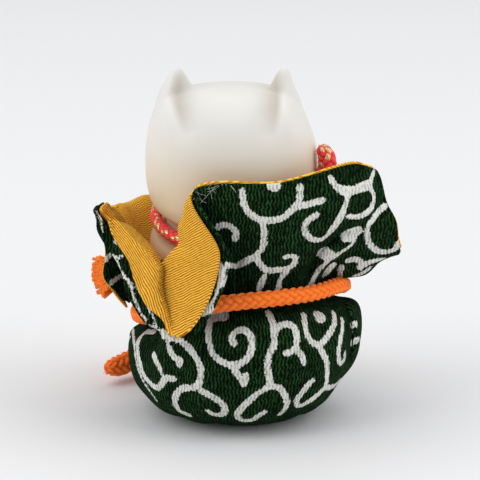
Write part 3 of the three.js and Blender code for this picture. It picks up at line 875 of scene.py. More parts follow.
edge_cloth = part_of_cloth(*edge_ribs, crest_row - 2)
edge_cloth = np.vstack([edge_cloth] + [part_of_cloth(*edge_ribs)[:1]] * (crepe_rows - rows))
for stroke, half_px in zip(edge_strokes, edge_half_px):
    away_in_picture = np.abs(beside(crepe_grid, stroke)[0])
    vine = np.where(edge_cloth > 0.5, np.minimum(vine, (away_in_picture - half_px) / px_mm), vine)
inked = 0
printed = [(panel_strokes, stroke_half), (belly_strokes, belly_half), (band_strokes, band_half_width),
           (strip_blots, strip_half), (panel_blots, blot_half), (belly_blots, blot_half),
           (thin_strokes, thin_half)]
for strokes, half in printed:
    for stroke in strokes:
        inked += print_stroke(stroke, half)
print(inked, "points of ink from the picture")

# %% Curls that grow over the sides that the picture doesn't show
curl_half = 0.74
curl_length = 22
tail_length = 8
pace = 0.3
room_between = 1.2
crepe_up = climb(crepe_grid)
column_step = np.linalg.norm(np.roll(crepe_grid, -1, axis=1) - crepe_grid, axis=-1)
row_step = np.linalg.norm(np.diff(crepe_grid, axis=0), axis=-1)


def grow(angle, height, heading, length, first_bend, last_bend):
    """A curl from an angle round the cloth and a height along it, bending more and more."""
    column = float(np.argmin(np.abs(np.degrees(column_angle) % 360 - angle % 360)))
    row = float(np.searchsorted(crepe_up[:, int(column)], height))
    way = math.radians(heading)
    for step in range(int(length / pace)):
        r, c = int(row), int(column) % columns
        if not 1 <= r < crepe_rows - 1:
            break
        share = step * pace / length
        if vine[r, c] < 0.3 and step > 4 and vine_before[r, c] < room_between:
            break
        stamp(r, c, crepe_grid[r, c], curl_half * (1 + uneven_share * math.sin(0.2 * step + angle)))
        column += pace * math.cos(way) / max(column_step[r, c], 0.05)
        row += pace * math.sin(way) / max(row_step[r, c], 0.05)
        way += pace * (first_bend + (last_bend - first_bend) * share**1.6)


vine_before = vine.copy()
curl_rng = np.random.default_rng(5)
curl_rows = [(21, 192, 24, 1), (34, 204, 24, 1), (56, 196, 23, -1), (67, 206, 23, -1)]
curls = [(angle, height, turn) for height, first, apart, first_turn in curl_rows
         for angle, turn in zip(range(first, 350, apart), [first_turn, -first_turn] * 9)]
for angle, height, turn in curls:
    heading = 90 - turn * 55 + curl_rng.uniform(-25, 25)
    size = curl_rng.uniform(0.88, 1.12)
    grow(angle, height, heading, curl_length * size, turn * 0.04, turn * 0.52 / size)
    grow(angle, height, heading + 190, tail_length, turn * 0.05, turn * 0.22)
print(len(curls), "curls on the far sides")

# %% [markdown]
# ## The crepe's grain
# Crepe is woven with tightly twisted threads that pull it into fine wavy ridges, about 0.8 mm apart.
# They run upright here. Round the pouch the ridge number comes from the angle, so the pattern closes
# on itself; above the cord it comes from the place across the cloth. The same ridge signal lifts the
# surface and paints light on the crests and shade in the valleys, and the printed ink lies on the crests.
# Around the waist and along the folds at the back a painted shade darkens the crepe.

# %% Values that the crepe's finish reads
back_rib = 6.6
back_ribs_half = 3
# Folds at the back whose creases get a painted shade: a line in the picture and its reach in pixels.
fold_shade_lines = [
    ([(349, 224), (332, 238), (319, 251), (309, 268), (303, 284)], 5.0),
    ([(236, 288), (240, 262), (245, 250)], 4.0),
    ([(345, 262), (335, 272), (330, 284)], 4.0),
    ([(290, 290), (293, 276), (300, 268)], 4.0),
    ([(337, 290), (345, 312), (349.5, 333), (348, 350), (344, 368)], 2.6),
]
outward_crepe = directions(crepe_grid)
sideways_share = rise(np.abs(outward_crepe[..., 0]), 0.45, 0.4)
above_band = rise(crepe_up - crepe_up[waist_row - 2], 0, 5)
# deep is a painted shade, strongest around the waist where the cord gathers the crepe, and along the folds at
# the back.
deep = hump(crepe_up - crepe_up[waist_row - 4], 5.5)
back_cloth = np.clip(back_ribs_half - np.abs(rib_place - back_rib), 0, 1)[None, :]
for line, wide in fold_shade_lines:
    away, along = beside(crepe_grid, line)
    deep = np.maximum(deep, back_cloth * hump(away, wide) * np.clip(np.sin(math.pi * along) * 1.6, 0, 1))
crepe_values = {"vine": vine, "sideways": sideways_share, "above": above_band, "deep": deep}
print("the deep folds cover", round(float((deep > 0.5).mean()) * 100), "% of the crepe's points")

# %% Green crepe
ridge_gap = 0.8
ridges_round = 200.0
stray_length = 2.4
fold_shade = 0.45
# Crest colours, and valley colours that hold the painted shade between the ridges.
ink_colour = (0.76, 0.755, 0.70)
ink_valley_shade = (0.36, 0.375, 0.34)
green_crest = (0.026, 0.090, 0.024)
green_valley_shade = (0.0012, 0.0045, 0.0014)
crepe_finish, place = start_finish("green_crepe")
across_x, across_y, height_z = [in_mm(place, axis) for axis in range(3)]
drift = noise(place, 230.0) - 0.5
slow = noise(place, 80.0, 1.0) - 0.5
stray = (height_z * (2 * math.pi / stray_length) + drift * 17).sine() * 0.15 + slow * 1.6 + drift * 0.9
wave_number = 2 * math.pi / ridge_gap
on_pouch = (across_y.math("ARCTAN2", across_x - bag_shift) * ridges_round + stray * wave_number).sine()
on_back = ((across_x + stray + height_z * 0.04) * wave_number).sine()
on_side = ((across_y + stray) * wave_number).sine()
sideways_value = value_of(place, "sideways")
above_value = value_of(place, "above")
upper_ridges = on_back * (1 - sideways_value) + on_side * sideways_value
ridges = (on_pouch * (1 - above_value) + upper_ridges * above_value) * 0.5 + 0.5
threads = noise(place, 2100.0, 2.0, 0.6)
knots_in_thread = noise(place, 900.0, 2.0, 0.5)
relief = (ridges * 0.45 + knots_in_thread * 0.75 + threads * 0.8 - 0.525).clipped()
print("the crepe has a ridge every", ridge_gap, "mm")

# %% Ink and colour of the crepe
ragged = (noise(place, 2300.0, 2.0, 0.7) - 0.5) * 0.9 + (relief - 0.5) * -0.22
ink = (value_of(place, "vine") + ragged).ramp(-0.1, 0.1, 1.0, 0.0)
worn = noise(place, 420.0, 3.0, 0.6).ramp(0.25, 0.5, 0.75, 1.0)
# Painted light and shade: lighter on the crests, darker in the valleys, with a random tone on top.
tone = relief.ramp(0.3, 1.05) * noise(place, 200.0).ramp(0.3, 0.7, 0.6, 1.15)
green = tone.mixed(green_valley_shade, green_crest)
white = relief.ramp(0.1, 0.55).mixed(ink_valley_shade, ink_colour)
# Where deep is high the colour is darkened as painted shade.
crepe_colour = (1 - value_of(place, "deep") * fold_shade).shade((ink * worn).mixed(green, white))
end_finish(place, Base_Color=crepe_colour, Roughness=0.95, Sheen_Weight=0.0, Specular_IOR_Level=0.04,
           Normal=(relief + ink * 0.1).bump(0.9, 0.0003))
print("the ink is", ink_colour, "on the crests and", ink_valley_shade, "between them")

# %% Make the crepe
crepe = shell("crepe", crepe_grid, -cloth_thick, crepe_values)
finished(crepe, crepe_finish, "crepe", "wrapping_outer")

# %% [markdown]
# ## The mustard lining
# The lining is the same kind of crepe, dyed mustard and without a print, so its ridges are all that one
# sees. On the flap that folds out they run up to the right, on the rolled edge they run steeply, and
# inside the bag they follow the rim. Each region has its own ridge count, stored on the mesh as a
# length across the ridges, and a share that says where it holds.

# %% Ridge counts for each part of the lining
flap_pitch = 1.1
roll_pitch = 1.12
flap_middle = 215
flap_top = 200
flap_bend = 55
flap_rib = 2.5
roll_top = 212
pixels = in_picture(lining_grid * mm)
px, py = pixels[..., 0], pixels[..., 1]
lower = rise(py, flap_top, flap_bend)
upper_share = 1 - lower**2 * (3 - 2 * lower)
across_flap = px - flap_middle
flap_grain = py + (1 - upper_share) * 0.47 * across_flap - upper_share * 0.0192 * across_flap**2
low = np.clip(py - roll_top, -10, 140)
roll_grain = px - 0.93 * low + 0.6 * low**2 / 190
lining_up = climb(lining_grid)
inner_grain = lining_up[-1].max() - lining_up + 0.35 * np.sin(9 * around)
past_crest = rise(np.arange(len(lining_grid))[:, None], crest_row - 8, 6)
turned_out = past_crest * rise(-np.abs(rib_place - flap_rib), -2.6, 0.15)[None, :]
lining_away, lining_along = beside(lining_grid, roll_edge)
right_of_edge = rise(lining_away, -0.75, 1.5)
past_notch = rise(lining_along, 0.4, 0.08) * rise(1.0 - lining_along, 0, 0.3)
# fold is a painted shade in the crease to the right of the roll's edge.
fold = turned_out * np.where(lining_away > -1, np.exp(-np.abs(lining_away) / 7), 0) * past_notch
lining_values = {"fold": fold, "flap_grain": flap_grain / px_mm / flap_pitch,
                 "roll_grain": roll_grain / px_mm / roll_pitch, "inner_grain": inner_grain,
                 "flap_share": turned_out * right_of_edge, "roll_share": turned_out * (1 - right_of_edge)}
print("flap ridges span", round(float(np.ptp(flap_grain[crest_row:]) / px_mm), 1), "mm")

# %% Mustard lining
lining_gap = 0.52
lining_fold_shade = 0.5
# The valley colour holds the painted shade between the ridges.
lining_crest = (1.0, 0.57, 0.062)
lining_valley_shade = (0.42, 0.125, 0.008)
lining_finish, place = start_finish("mustard_lining")
lining_stray = (noise(place, 330.0) - 0.5) * 0.75 + (noise(place, 110.0, 1.0) - 0.5) * 1.2


def ridge_of(label):
    return ((value_of(place, label) + lining_stray) * (2 * math.pi / lining_gap)).sine() * 0.5 + 0.5


flap_value = value_of(place, "flap_share")
roll_value = value_of(place, "roll_share")
inner_value = 1 - flap_value - roll_value
weave = (ridge_of("flap_grain") * flap_value + ridge_of("roll_grain") * roll_value
         + ridge_of("inner_grain") * inner_value)
lining_relief = (weave * 0.75 + noise(place, 1100.0, 2.0, 0.6) * 0.55 - 0.17).clipped()
lit_inside = inner_value.clipped()
# Painted light and shade: lighter on the crests, darker in the valleys.
lining_tone = lining_relief.ramp(0.05, 0.8) * (1 - lit_inside * 0.2) + lit_inside * 0.26
lining_colour = lining_tone.clipped().mixed(lining_valley_shade, lining_crest)
# The painted shade in the crease beside the roll darkens the colour.
fold_shade_factor = 1 - value_of(place, "fold") * lining_fold_shade
end_finish(place, Base_Color=fold_shade_factor.shade(lining_colour), Roughness=0.92, Sheen_Weight=0.02,
           Sheen_Roughness=0.5, Specular_IOR_Level=0.1, Normal=lining_relief.bump(0.9, 0.00022))
lining = shell("lining", lining_grid, cloth_thick, lining_values)
finished(lining, lining_finish, "lining", "wrapping_lining")

# %% [markdown]
# ## Braided cords
# Both cords are braided from thick strands that cross over and under on their way round. The tube's
# skin is divided into slanting cells. A strand lies on top for two of them and then dives under two, so
# the cord shows rows of slanting lumps that meet in chevrons. That relief is real geometry, because a
# cord's outline shows it; the finish adds the fibres and a painted shade in the grooves between strands.

# %% Braid a route
braid_step = 0.2
groove_share = 0.72
lump_share = 0.24
blunt_tip = 0.25


def frames_along(route):
    """Two directions across a route that don't twist."""
    along = unit(np.gradient(route, axis=0))
    side = np.cross(along[0], (0, 0, 1.0))
    if np.linalg.norm(side) < 0.1:
        side = np.cross(along[0], (1.0, 0, 0))
    sides = []
    for direction in along:
        side = unit(side - direction * (side @ direction))
        sides.append(side)
    sides = np.array(sides)
    return along, sides, np.cross(along, sides)


def braid(name, route, radius, pitch, strands=4, ring=44, gold=0.0, seed=1, end=0.0):
    """A tube along a route whose skin is a braid, drawn to a blunt point over the share that end gives."""
    route = even(route, braid_step)
    if end:
        to_tip = rise(1 - np.linspace(0, 1, len(route)), 0, end)
        radius = (radius * (blunt_tip + (1 - blunt_tip) * np.sqrt(1 - (1 - to_tip) ** 2)))[:, None]
    _, side, other = frames_along(route)
    run = run_along(route)[:, None] / pitch
    turn = np.linspace(0, 2 * math.pi, ring, endpoint=False)[None, :]
    one = strands * turn / (2 * math.pi) + run
    two = strands * turn / (2 * math.pi) - run
    top_is_one = (np.floor(one) + np.floor(two)) % 4 < 2
    crosswise = np.where(top_is_one, one % 1, two % 1)
    lengthwise = np.where(top_is_one, (two + np.floor(one)) % 4 / 2, (one + np.floor(two)) % 4 / 2 - 1)
    bulge = np.sin(math.pi * crosswise) ** 0.6
    dive = np.sin(math.pi * np.clip(lengthwise, 0, 1)) ** 0.5
    lift = bulge * (0.3 + 0.7 * dive)
    out = (radius * (groove_share + lump_share * lift))[..., None]
    points = route[:, None, :] + out * (np.cos(turn)[..., None] * side[:, None, :]
                                        + np.sin(turn)[..., None] * other[:, None, :])
    points = np.vstack([points.reshape(-1, 3), route[:1], route[-1:]])
    faces = [face[::-1] for face in grid_faces(len(route), ring)]
    tip = len(route) * ring
    faces += fan(tip, np.arange(ring)) + fan(tip + 1, tip - ring + np.arange(ring), True)
    chance = np.random.default_rng(seed).random((997,))
    cell = (np.floor(one) * 31 + np.floor(two) * 17).astype(int) % len(chance)
    is_gold = (chance[cell] < gold).astype(float) * np.clip(1.6 * bulge * dive - 0.35, 0, 1)
    values = {"lift": lift, "fibre": (lengthwise * 0.9 + crosswise * 0.5) * pitch, "gold": is_gold}
    values = {label: np.r_[numbers.ravel(), [0, 0]] for label, numbers in values.items()}
    return piece_from(name, points, faces, values), route


def loop_knot(name, middle, wide, tall, deep, radius, pitch, gold=0.0):
    """A small knot: a cord that crosses itself three times."""
    t = np.linspace(0, 2 * math.pi, 181)
    route = np.stack([wide * (np.sin(t) + 2 * np.sin(2 * t)) / 2.7, -deep * np.sin(3 * t),
                      tall * (np.cos(t) - 2 * np.cos(2 * t)) / 2.7], -1)
    return braid(name, route + middle, radius, pitch, ring=32, gold=gold)[0]


print("a braid is made from its route, its radius and its pitch")

# %% Cord finishes
fibre_gap = 0.34


def cord_finish(name, crest_colour, groove_shade_colour, gold_colour, roughness):
    finish, place = start_finish(name)
    lift = value_of(place, "lift")
    fibre_run = value_of(place, "fibre") + noise(place, 500.0) * 0.35
    fibres = (fibre_run * (2 * math.pi / fibre_gap)).sine() * 0.5 + 0.5
    fuzz = noise(place, 1800.0, 3.0, 0.6)
    # Painted shade: the grooves between strands take the darker colour, the lumps the crest colour.
    depth = (lift * 0.8 + fibres * 0.2 + fuzz * 0.25 - 0.12).ramp(0.05, 0.75)
    gilt = value_of(place, "gold").ramp(0.15, 0.5)
    # Gold threads alternate between a shaded and a bright gold along their fibres, as painted glints.
    gold_fibre_shade = tuple(part * share for part, share in zip(gold_colour, (0.45, 0.38, 0.3)))
    colour = gilt.mixed(depth.mixed(groove_shade_colour, crest_colour), fibres.mixed(gold_fibre_shade, gold_colour))
    relief = lift * 0.55 + fibres * 0.25 + fuzz * 0.3
    end_finish(place, Base_Color=colour, Roughness=roughness - gilt * 0.4, Metallic=gilt * 0.75,
               Sheen_Weight=0.03, Sheen_Roughness=0.5, Specular_IOR_Level=0.2,
               Normal=relief.bump(0.6, 0.0002))
    return finish


def thread_finish(name, deep_colour, light_colour):
    finish, place = start_finish(name)
    tone = value_of(place, "tone") * 0.7 + noise(place, 900.0) * 0.5 - 0.1
    end_finish(place, Base_Color=tone.ramp(0.1, 0.8).mixed(deep_colour, light_colour), Roughness=0.8,
               Sheen_Weight=0.05, Sheen_Roughness=0.4, Specular_IOR_Level=0.2)
    return finish


orange_glint = (1.0, 0.5, 0.1)
# The second colour of each cord is the painted shade in its grooves.
orange_finish = cord_finish("orange_cord", (1.0, 0.215, 0.022), (0.95, 0.11, 0.011), orange_glint, 0.8)
red_finish = cord_finish("red_cord", (1.0, 0.085, 0.09), (0.75, 0.02, 0.03), (1.0, 0.72, 0.36), 0.72)
red_orange_finish = cord_finish("red_orange_cord", (1.0, 0.2, 0.024), (0.72, 0.06, 0.007), orange_glint, 0.8)
orange_threads = thread_finish("orange_threads", (1.0, 0.16, 0.016), (1.0, 0.26, 0.028))
red_threads = thread_finish("red_threads", (1.0, 0.07, 0.10), (1.0, 0.20, 0.23))
white_threads = thread_finish("white_threads", (0.42, 0.46, 0.42), (0.74, 0.76, 0.72))
print("orange, red and white cords and threads")

# %% The waist cord and its ends
waist_braid = {"radius": cord_width / 2, "pitch": 2.0, "strands": 6}
waist_cord, _ = braid("waist_cord", wrap_route, **waist_braid)
waist_knot = loop_knot("waist_knot", knot_place, wide=3.0, tall=2.0, deep=1.0, radius=1.45, pitch=2.3)
upper_tail, upper_line = braid("waist_tail_upper", upper_route, **waist_braid)
lower_tail, lower_line = braid("waist_tail_lower", lower_route, **waist_braid)
for piece, node in ((waist_cord, "waist_cord_wrap"), (waist_knot, "waist_cord_knot"),
                    (upper_tail, "waist_cord_tail_upper"), (lower_tail, "waist_cord_tail_lower")):
    finished(piece, orange_finish, "waist_cord", node)

# %% [markdown]
# ## Frayed ends
# Beyond its last crossing a cord's end comes loose. Two of the four ends are combed out into some
# hundreds of threads, each a thin three-sided taper, a few faces long. The other two only loosen: the
# braid runs on, fatter, to a blunt tip with a few wisps. Chance comes from a seeded generator, so every
# run gives the same tuft.

# %% Threads and tufts
floor_room = 0.3


def threads_from(name, starts, ways, lengths, droop, thickness, rng, curl_amount, sections=5):
    """Many thin tapered threads as one mesh, none of them below the floor."""
    points, faces, tone = [], [], []
    for start, way, length in zip(starts, ways, lengths):
        way = unit(way)
        side = unit(np.cross(way, rng.normal(size=3)))
        other = np.cross(way, side)
        bend = rng.normal(size=2) * curl_amount * length
        base = len(points)
        shade = rng.random()
        for k in range(sections + 1):
            s = k / sections
            middle = start + way * length * s + (side * bend[0] + other * bend[1]) * s * s
            middle = middle + np.array([0, 0, -droop * length * s * s])
            middle[2] = max(middle[2], floor_room + thickness)
            wide = thickness * (1 - 0.2 * s)
            for corner in range(3):
                a = 2 * math.pi * corner / 3 + s
                points.append(middle + wide * (math.cos(a) * side + math.sin(a) * other))
                tone.append(shade * 0.6 + 0.4 * s)
        for k in range(sections):
            for corner in range(3):
                a, b = base + 3 * k + corner, base + 3 * k + (corner + 1) % 3
                faces.append([a, b, b + 3, a + 3])
        top = base + 3 * sections
        faces += [[base + 2, base + 1, base], [top, top + 1, top + 2]]
    return piece_from(name, points, faces, {"tone": tone, "lift": 0.4 + 0.6 * np.array(tone)})


def tuft(name, line, radius, length, spread, count, seed, droop, thickness, curl_amount, uneven, way=None):
    """A brush of threads from the end of a cord, cut straight across but for some unevenness."""
    rng = np.random.default_rng(seed)
    along, side, other = frames_along(line[-12:])
    way = along[-1] if way is None else unit(np.array(way))
    turn = rng.uniform(0, 2 * math.pi, count)
    out = np.sqrt(rng.uniform(0, 1, count))
    across = np.cos(turn)[:, None] * side[-1] + np.sin(turn)[:, None] * other[-1]
    starts = line[-1] - way * 0.8 + across * (out * radius * 0.85)[:, None]
    ways = unit(way + across * (out * spread + rng.normal(0, 0.08, count))[:, None])
    lengths = length / np.maximum(ways @ way, 0.6) * rng.uniform(1.0 - uneven, 1.02, count)
    return threads_from(name, starts, ways, lengths, droop, thickness, rng, curl_amount)


def loosened_end(name, line, steps, radius, strands, gold, seed):
    """The last of a braid, loosening to a blunt point, with some threads at its tip."""
    route = smooth_route(np.vstack([line[-12], line[-1], line[-1] + np.array(steps)]), 12)
    stub, tip_line = braid(name, route, radius, 2.0, strands, ring=48, gold=gold, seed=seed, end=0.45)
    wisps = tuft(name + "_wisps", tip_line[:-4], radius=0.7, length=1.9, spread=0.35, count=26, seed=seed,
                 droop=0.1, thickness=0.12, curl_amount=0.2, uneven=0.4)
    return joined(name, [stub, wisps])


print("threads keep", floor_room, "mm above the floor")

# %% The frayed ends of the waist cord
upper_tuft = tuft("waist_tuft_upper_threads", upper_line, radius=2.1, length=6.4, spread=0.42, count=420,
                  seed=11, droop=0.02, thickness=0.42, curl_amount=0.0, uneven=0.04, way=(1.0, 0.3, 0.0))
lower_way = unit(lower_line[-1] - lower_line[-5])
beyond_lower = [lower_way * 4.2 + (0, 0, 0.2), lower_way * 8.6 + (0, 0, 1.2)]
lower_tuft = loosened_end("waist_tuft_lower_threads", lower_line, beyond_lower, radius=2.75, strands=8,
                          gold=0.0, seed=12)
finished(upper_tuft, orange_threads, "waist_cord", "waist_tuft_upper")
finished(lower_tuft, red_orange_finish, "waist_cord", "waist_tuft_lower")
for tail, line, brush in ((upper_tail, upper_line, upper_tuft), (lower_tail, lower_line, lower_tuft)):
    tuple(line[0] * mm)
    [tuple(p) for p in line[::3] * mm]

# %% The collar
collar_braid = {"radius": collar_width / 2, "pitch": 1.9}
collar, _ = braid("collar", collar_route, ring=40, gold=0.2, seed=3, **collar_braid)
collar_knot = loop_knot("collar_knot_loops", collar_knot_place, wide=1.35, tall=1.3, deep=0.9, radius=1.1,
                        pitch=1.9, gold=0.2)
rising_tail, rising_line = braid("collar_tail_up", rising_route, gold=0.3, seed=4, **collar_braid)
resting_tail, resting_line = braid("collar_tail_down", resting_route, gold=0.25, seed=6, **collar_braid)
beyond_rising = [(-0.4, 0.3, 2.6), (0, 0.4, 4.8), (1.5, 0.4, 6.6)]
rising_tuft = loosened_end("collar_tuft_up", rising_line, beyond_rising, radius=2.35, strands=6, gold=0.3,
                           seed=13)
resting_tuft = tuft("collar_tuft_down", resting_line, radius=1.4, length=5.4, spread=0.35, count=300,
                    seed=14, droop=0.1, thickness=0.12, curl_amount=0.18, uneven=0.13)
for piece, node in ((collar, "collar_cord"), (collar_knot, "collar_knot"),
                    (rising_tail, "collar_tail_rising"), (resting_tail, "collar_tail_resting"),
                    (rising_tuft, "collar_tuft_rising")):
    finished(piece, red_finish, "collar_cord", node)
finished(resting_tuft, red_threads, "collar_cord", "collar_tuft_resting")

# %% [markdown]
# ## The ceramic dog
# The dog was cast in a mould, so all its forms run softly into each other. Rings of the right width and
# depth are stacked up and bridged to make the body and head, ears and muzzle are added as simple
# solids, and a fine voxel remesh melts them together before the smoothing that a thick glaze gives.

# %% Stack rings and bridge them
def stacked(name, rings, corners):
    """A closed form through rings of (x, y, height, half width, half depth, slope, squareness)."""
    for number, (cx, cy, cz, wide, deep, slope, _) in enumerate(rings):
        if number == 0:
            bpy.ops.mesh.primitive_circle_add(vertices=corners, radius=1.0 * mm, location=(0, 0, 0))
            piece = started(name)
            bpy.ops.object.mode_set(mode="EDIT")
        else:
            bpy.ops.mesh.select_all(action="DESELECT")
            bpy.ops.mesh.primitive_circle_add(vertices=corners, radius=1.0 * mm, location=(0, 0, 0))
        bpy.ops.transform.resize(value=(wide, deep, 1), center_override=(0, 0, 0))
        bpy.ops.transform.rotate(value=-math.atan(slope), orient_axis="X", center_override=(0, 0, 0))
        bpy.ops.transform.translate(value=(cx * mm, cy * mm, cz * mm))
    bpy.ops.mesh.select_all(action="SELECT")
    bpy.ops.mesh.bridge_edge_loops()
    bpy.ops.mesh.select_all(action="SELECT")
    bpy.ops.mesh.fill_holes(sides=0)
    bpy.ops.mesh.normals_make_consistent(inside=False)
    bpy.ops.object.mode_set(mode="OBJECT")
    return piece


set_back = 1.9
tilted = collar_slope
dog_rings = smooth_route([
    (0, 0, 2.1, 9.5, 9.5, 0, 2),
    (0, 0, 3.7, 13.1, 13.1, 0, 2),
    (0, 0, 7.1, 18.2, 18.2, 0, 2),
    (0, 0, 12.1, 20, 20, 0, 2),
    (0, 0, 15.1, 19.3, 19.3, 0, 2),
    (0, 0, 20.4, 17.1, 17.1, 0, 2),
    (0, 0, 27.4, 16.9, 16.9, 0, 2),
    (0, set_back / 2, 34, 17.9, 16.9, 0, 2),
    (0, set_back, 40, 18.9, 17, tilted / 2, 2),
    (0, set_back, 42.9, 18.4, 16.1, tilted, 2),
    (0, set_back / 2, 44.8, 15.3, 14.5, tilted, 2),
    (0, set_back / 2, 48, 15.3, 14.5, tilted, 2),
    (0, 0, 50.4, 18.2, 18, tilted, 2.2),
    (0, 0, 54, 19.4, 18.2, tilted / 2, 2.3),
    (0, 0, 59, 19.7, 18.2, 0, 2.4),
    (0, 0, 65, 19.3, 17.8, 0, 2.4),
    (0, 0, 70, 17.9, 16, 0, 2.4),
    (0, 0, 73.6, 15.1, 12.8, 0, 2.3),
    (0, 0, 75.9, 10.3, 8.4, 0, 2.2),
    (0, 0, 76.75, 1.2, 1, 0, 2),
], 4)
body = stacked("ceramic_dog", dog_rings, 72)
points = points_of(body)
half_wide, half_deep, squareness = [np.interp(points[:, 2], dog_rings[:, 2], dog_rings[:, k])
                                    for k in (3, 4, 6)]
turn = np.arctan2(points[:, 1] / half_deep, points[:, 0] / half_wide)
fuller = (np.abs(np.cos(turn)) ** squareness + np.abs(np.sin(turn)) ** squareness) ** (-1 / squareness)
points[:, :2] *= fuller[:, None]
put_points(body, points)
print("body from", len(dog_rings), "rings")

# %% Ears, muzzle and cheeks
ear_spread = 12.3
ear_root = 66
ear_tip = 81.4
ear_rise = ear_tip - ear_root
ear_steps = smooth_route([(-1, -4, 7.4, 6.2), (-1, 0, 6.6, 5.5), (-0.9, 0.25 * ear_rise, 5.9, 5),
                          (-0.4, 0.5 * ear_rise, 4.6, 4.2), (0.3, 0.76 * ear_rise, 2.7, 2.7),
                          (0.8, 0.93 * ear_rise, 1.35, 1.35), (1, 0.985 * ear_rise, 0.4, 0.4)], 4)
up_ear = rise(ear_steps[:, 1], 0, ear_rise)


def ear(side):
    rings = [(side * ear_spread * (0.93 + 0.07 * s), y, ear_root + z, wide, deep, 0, 2)
             for (y, z, wide, deep), s in zip(ear_steps, up_ear)]
    return stacked("ear", rings, 32)


def rounded(name, place, half, turned=0.0):
    """A ball drawn out to half sizes, for a part of the face."""
    middle = [p * mm for p in place]
    bpy.ops.mesh.primitive_uv_sphere_add(segments=40, ring_count=24, radius=mm, location=middle)
    piece = started(name)
    bpy.ops.transform.resize(value=half, center_override=middle)
    if turned:
        bpy.ops.transform.rotate(value=math.radians(turned), orient_axis="X", center_override=middle)
    return settled(piece)


ears = [ear(1), ear(-1)]
for side, one in zip((1, -1), ears):
    hollow = rounded("hollow", (side * ear_spread, -5.6, ear_root + 6.2), (3.1, 2.9, 5.8), 12)
    with_modifier(one, "BOOLEAN", operation="DIFFERENCE", object=hollow, solver="EXACT")
    bpy.data.objects.remove(hollow)
face_parts = [rounded(*part) for part in (
    ("muzzle", (0, -14.2, 59.2), (6.6, 11.3, 4.2)),
    ("jaw", (0, -14.2, 56), (4.7, 9.3, 2.4)),
    ("nose", (0, -25, 60.8), (2.2, 1.4, 1.5)),
    ("cheek_left", (9.4, -13.6, 58.6), (8.4, 5, 7)),
    ("cheek_right", (-9.4, -13.6, 58.6), (8.4, 5, 7)),
    ("brow", (0, -13.4, 65.5), (7.5, 4.8, 6)),
)]
dog = joined("ceramic_dog", [body, *ears, *face_parts])
with_modifier(dog, "REMESH", mode="VOXEL", voxel_size=0.42 * mm, use_smooth_shade=True)
with_modifier(dog, "SMOOTH", factor=0.5, iterations=14)
settled(dog)
print("the dog has", len(dog.data.polygons), "faces")

# %% Dips beside the ears and their painted shade
dip_depth = 1.0
ridge_height = 1.1
ridge_wide = 7.0
head_dips = [
    ([(199, 72), (192, 90), (187, 108), (184, 130), (184, 150)], dip_depth, 9.0),
    ([(262, 72), (266, 90), (268, 108), (270, 130), (270, 150)], dip_depth, 10.0),
    ([(178, 64), (172, 84), (168, 104), (165, 126), (163, 148)], -ridge_height, ridge_wide),
    ([(280, 64), (286, 84), (290, 104), (292, 126), (294, 148)], -ridge_height, ridge_wide),
]
# Lines beside the ears for a painted grey shade: which side of each is inside, and how far the shade reaches.
ear_shade_lines = [
    ([(178, 64), (175, 85), (174, 100), (177, 116), (184, 136)], 1, 17.0),
    ([(282, 62), (283, 80), (283, 96), (281, 114), (275, 138)], -1, 20.0),
]
head_drags = [(296, 84, -4, 0, 20), (311, 118, -5, 0, 24), (161, 94, -3, 0, 22)]
dog_points = points_of(dog)
above_face = rise(dog_points[:, 2], 58, 6)
towards_back = rise(np.array([v.normal for v in dog.data.vertices]) @ toward_camera, 0.05, 0.4)
for line, depth, wide in head_dips:
    dog_points = crease(dog_points, towards_back, line, depth, wide, 0.5)
# The painted shade is strongest just inside each ear's ridge and fades down the head.
painted_ear_shade = 0
for line, inner, wide in ear_shade_lines:
    away, along = beside(dog_points, line)
    away = away * inner
    beyond_ridge = rise(away, -3, 8) * hump(np.maximum(away, 0), wide)
    painted_ear_shade = painted_ear_shade + towards_back * above_face * beyond_ridge * np.clip(np.sin(math.pi * along), 0, 1) ** 0.8
dog_points = drag(dog_points, 1.0, head_drags)
put_values(dog.data, "ear_shade", painted_ear_shade)
put_points(dog, dog_points)
with_modifier(dog, "SMOOTH", factor=0.5, iterations=12)
dog.data.shade_smooth()
# The share of the dog's points that get the painted grey shade.
print("glaze pools on", round(float((painted_ear_shade > 0.5).mean()) * 100), "% of the dog's points")

# %% [markdown]
# ## Glaze and the painted face
# The glaze is white and faintly warm. Towards the neck and the shoulders a painted warm reflection of the
# mustard lining tints it, and beside the ears a painted grey shade darkens it. The photograph shows hardly a
# mirror image in it, so its body is satin and the clear coat over it is weak. Eyes, nose, mouth and the
# pink of the ears are painted under the glaze, so they are colours in the same finish, placed by position.

# %% Places and colours of the paint
eye_side = 7.6
eye_height = 65.2
nose_height = 61.0
smile_height = 57.6
ear_paint_height = 76.2
thin_glaze = (0.735, 0.718, 0.678)
thick_glaze = (0.715, 0.695, 0.65)
# A painted warm reflection of the mustard lining on the neck, the chest and, strongest, the back of the
# shoulders.
neck_lining_reflection = (0.72, 0.60, 0.42)
chest_glaze_and_reflection = (0.74, 0.68, 0.60)
back_lining_reflection = (0.63, 0.445, 0.28)
# A painted grey shade beside the ears.
ear_shade_grey = (0.47, 0.425, 0.355)
ear_pink = (0.86, 0.50, 0.44)
paint_black = (0.012, 0.010, 0.010)
smile_brown = (0.05, 0.025, 0.02)
print("the eyes sit", eye_height - nose_height, "mm above the nose")

# %% Glaze
glaze, place = start_finish("white_glaze")
x_mm, y_mm, z_mm = [in_mm(place, axis) for axis in range(3)]
side_mm = x_mm.size()


def oval(across, middle_across, middle_up, half_across, half_up, soft=0.08):
    """A painted oval: one inside, nothing outside."""
    a = (across - middle_across) * (1 / half_across)
    b = (z_mm - middle_up) * (1 / half_up)
    return (a * a + b * b).ramp(1 - soft, 1 + soft, 1.0, 0.0)


def below(signal, start, end):
    """One up to start and nothing from end on."""
    return signal.ramp(start, end, 1.0, 0.0)


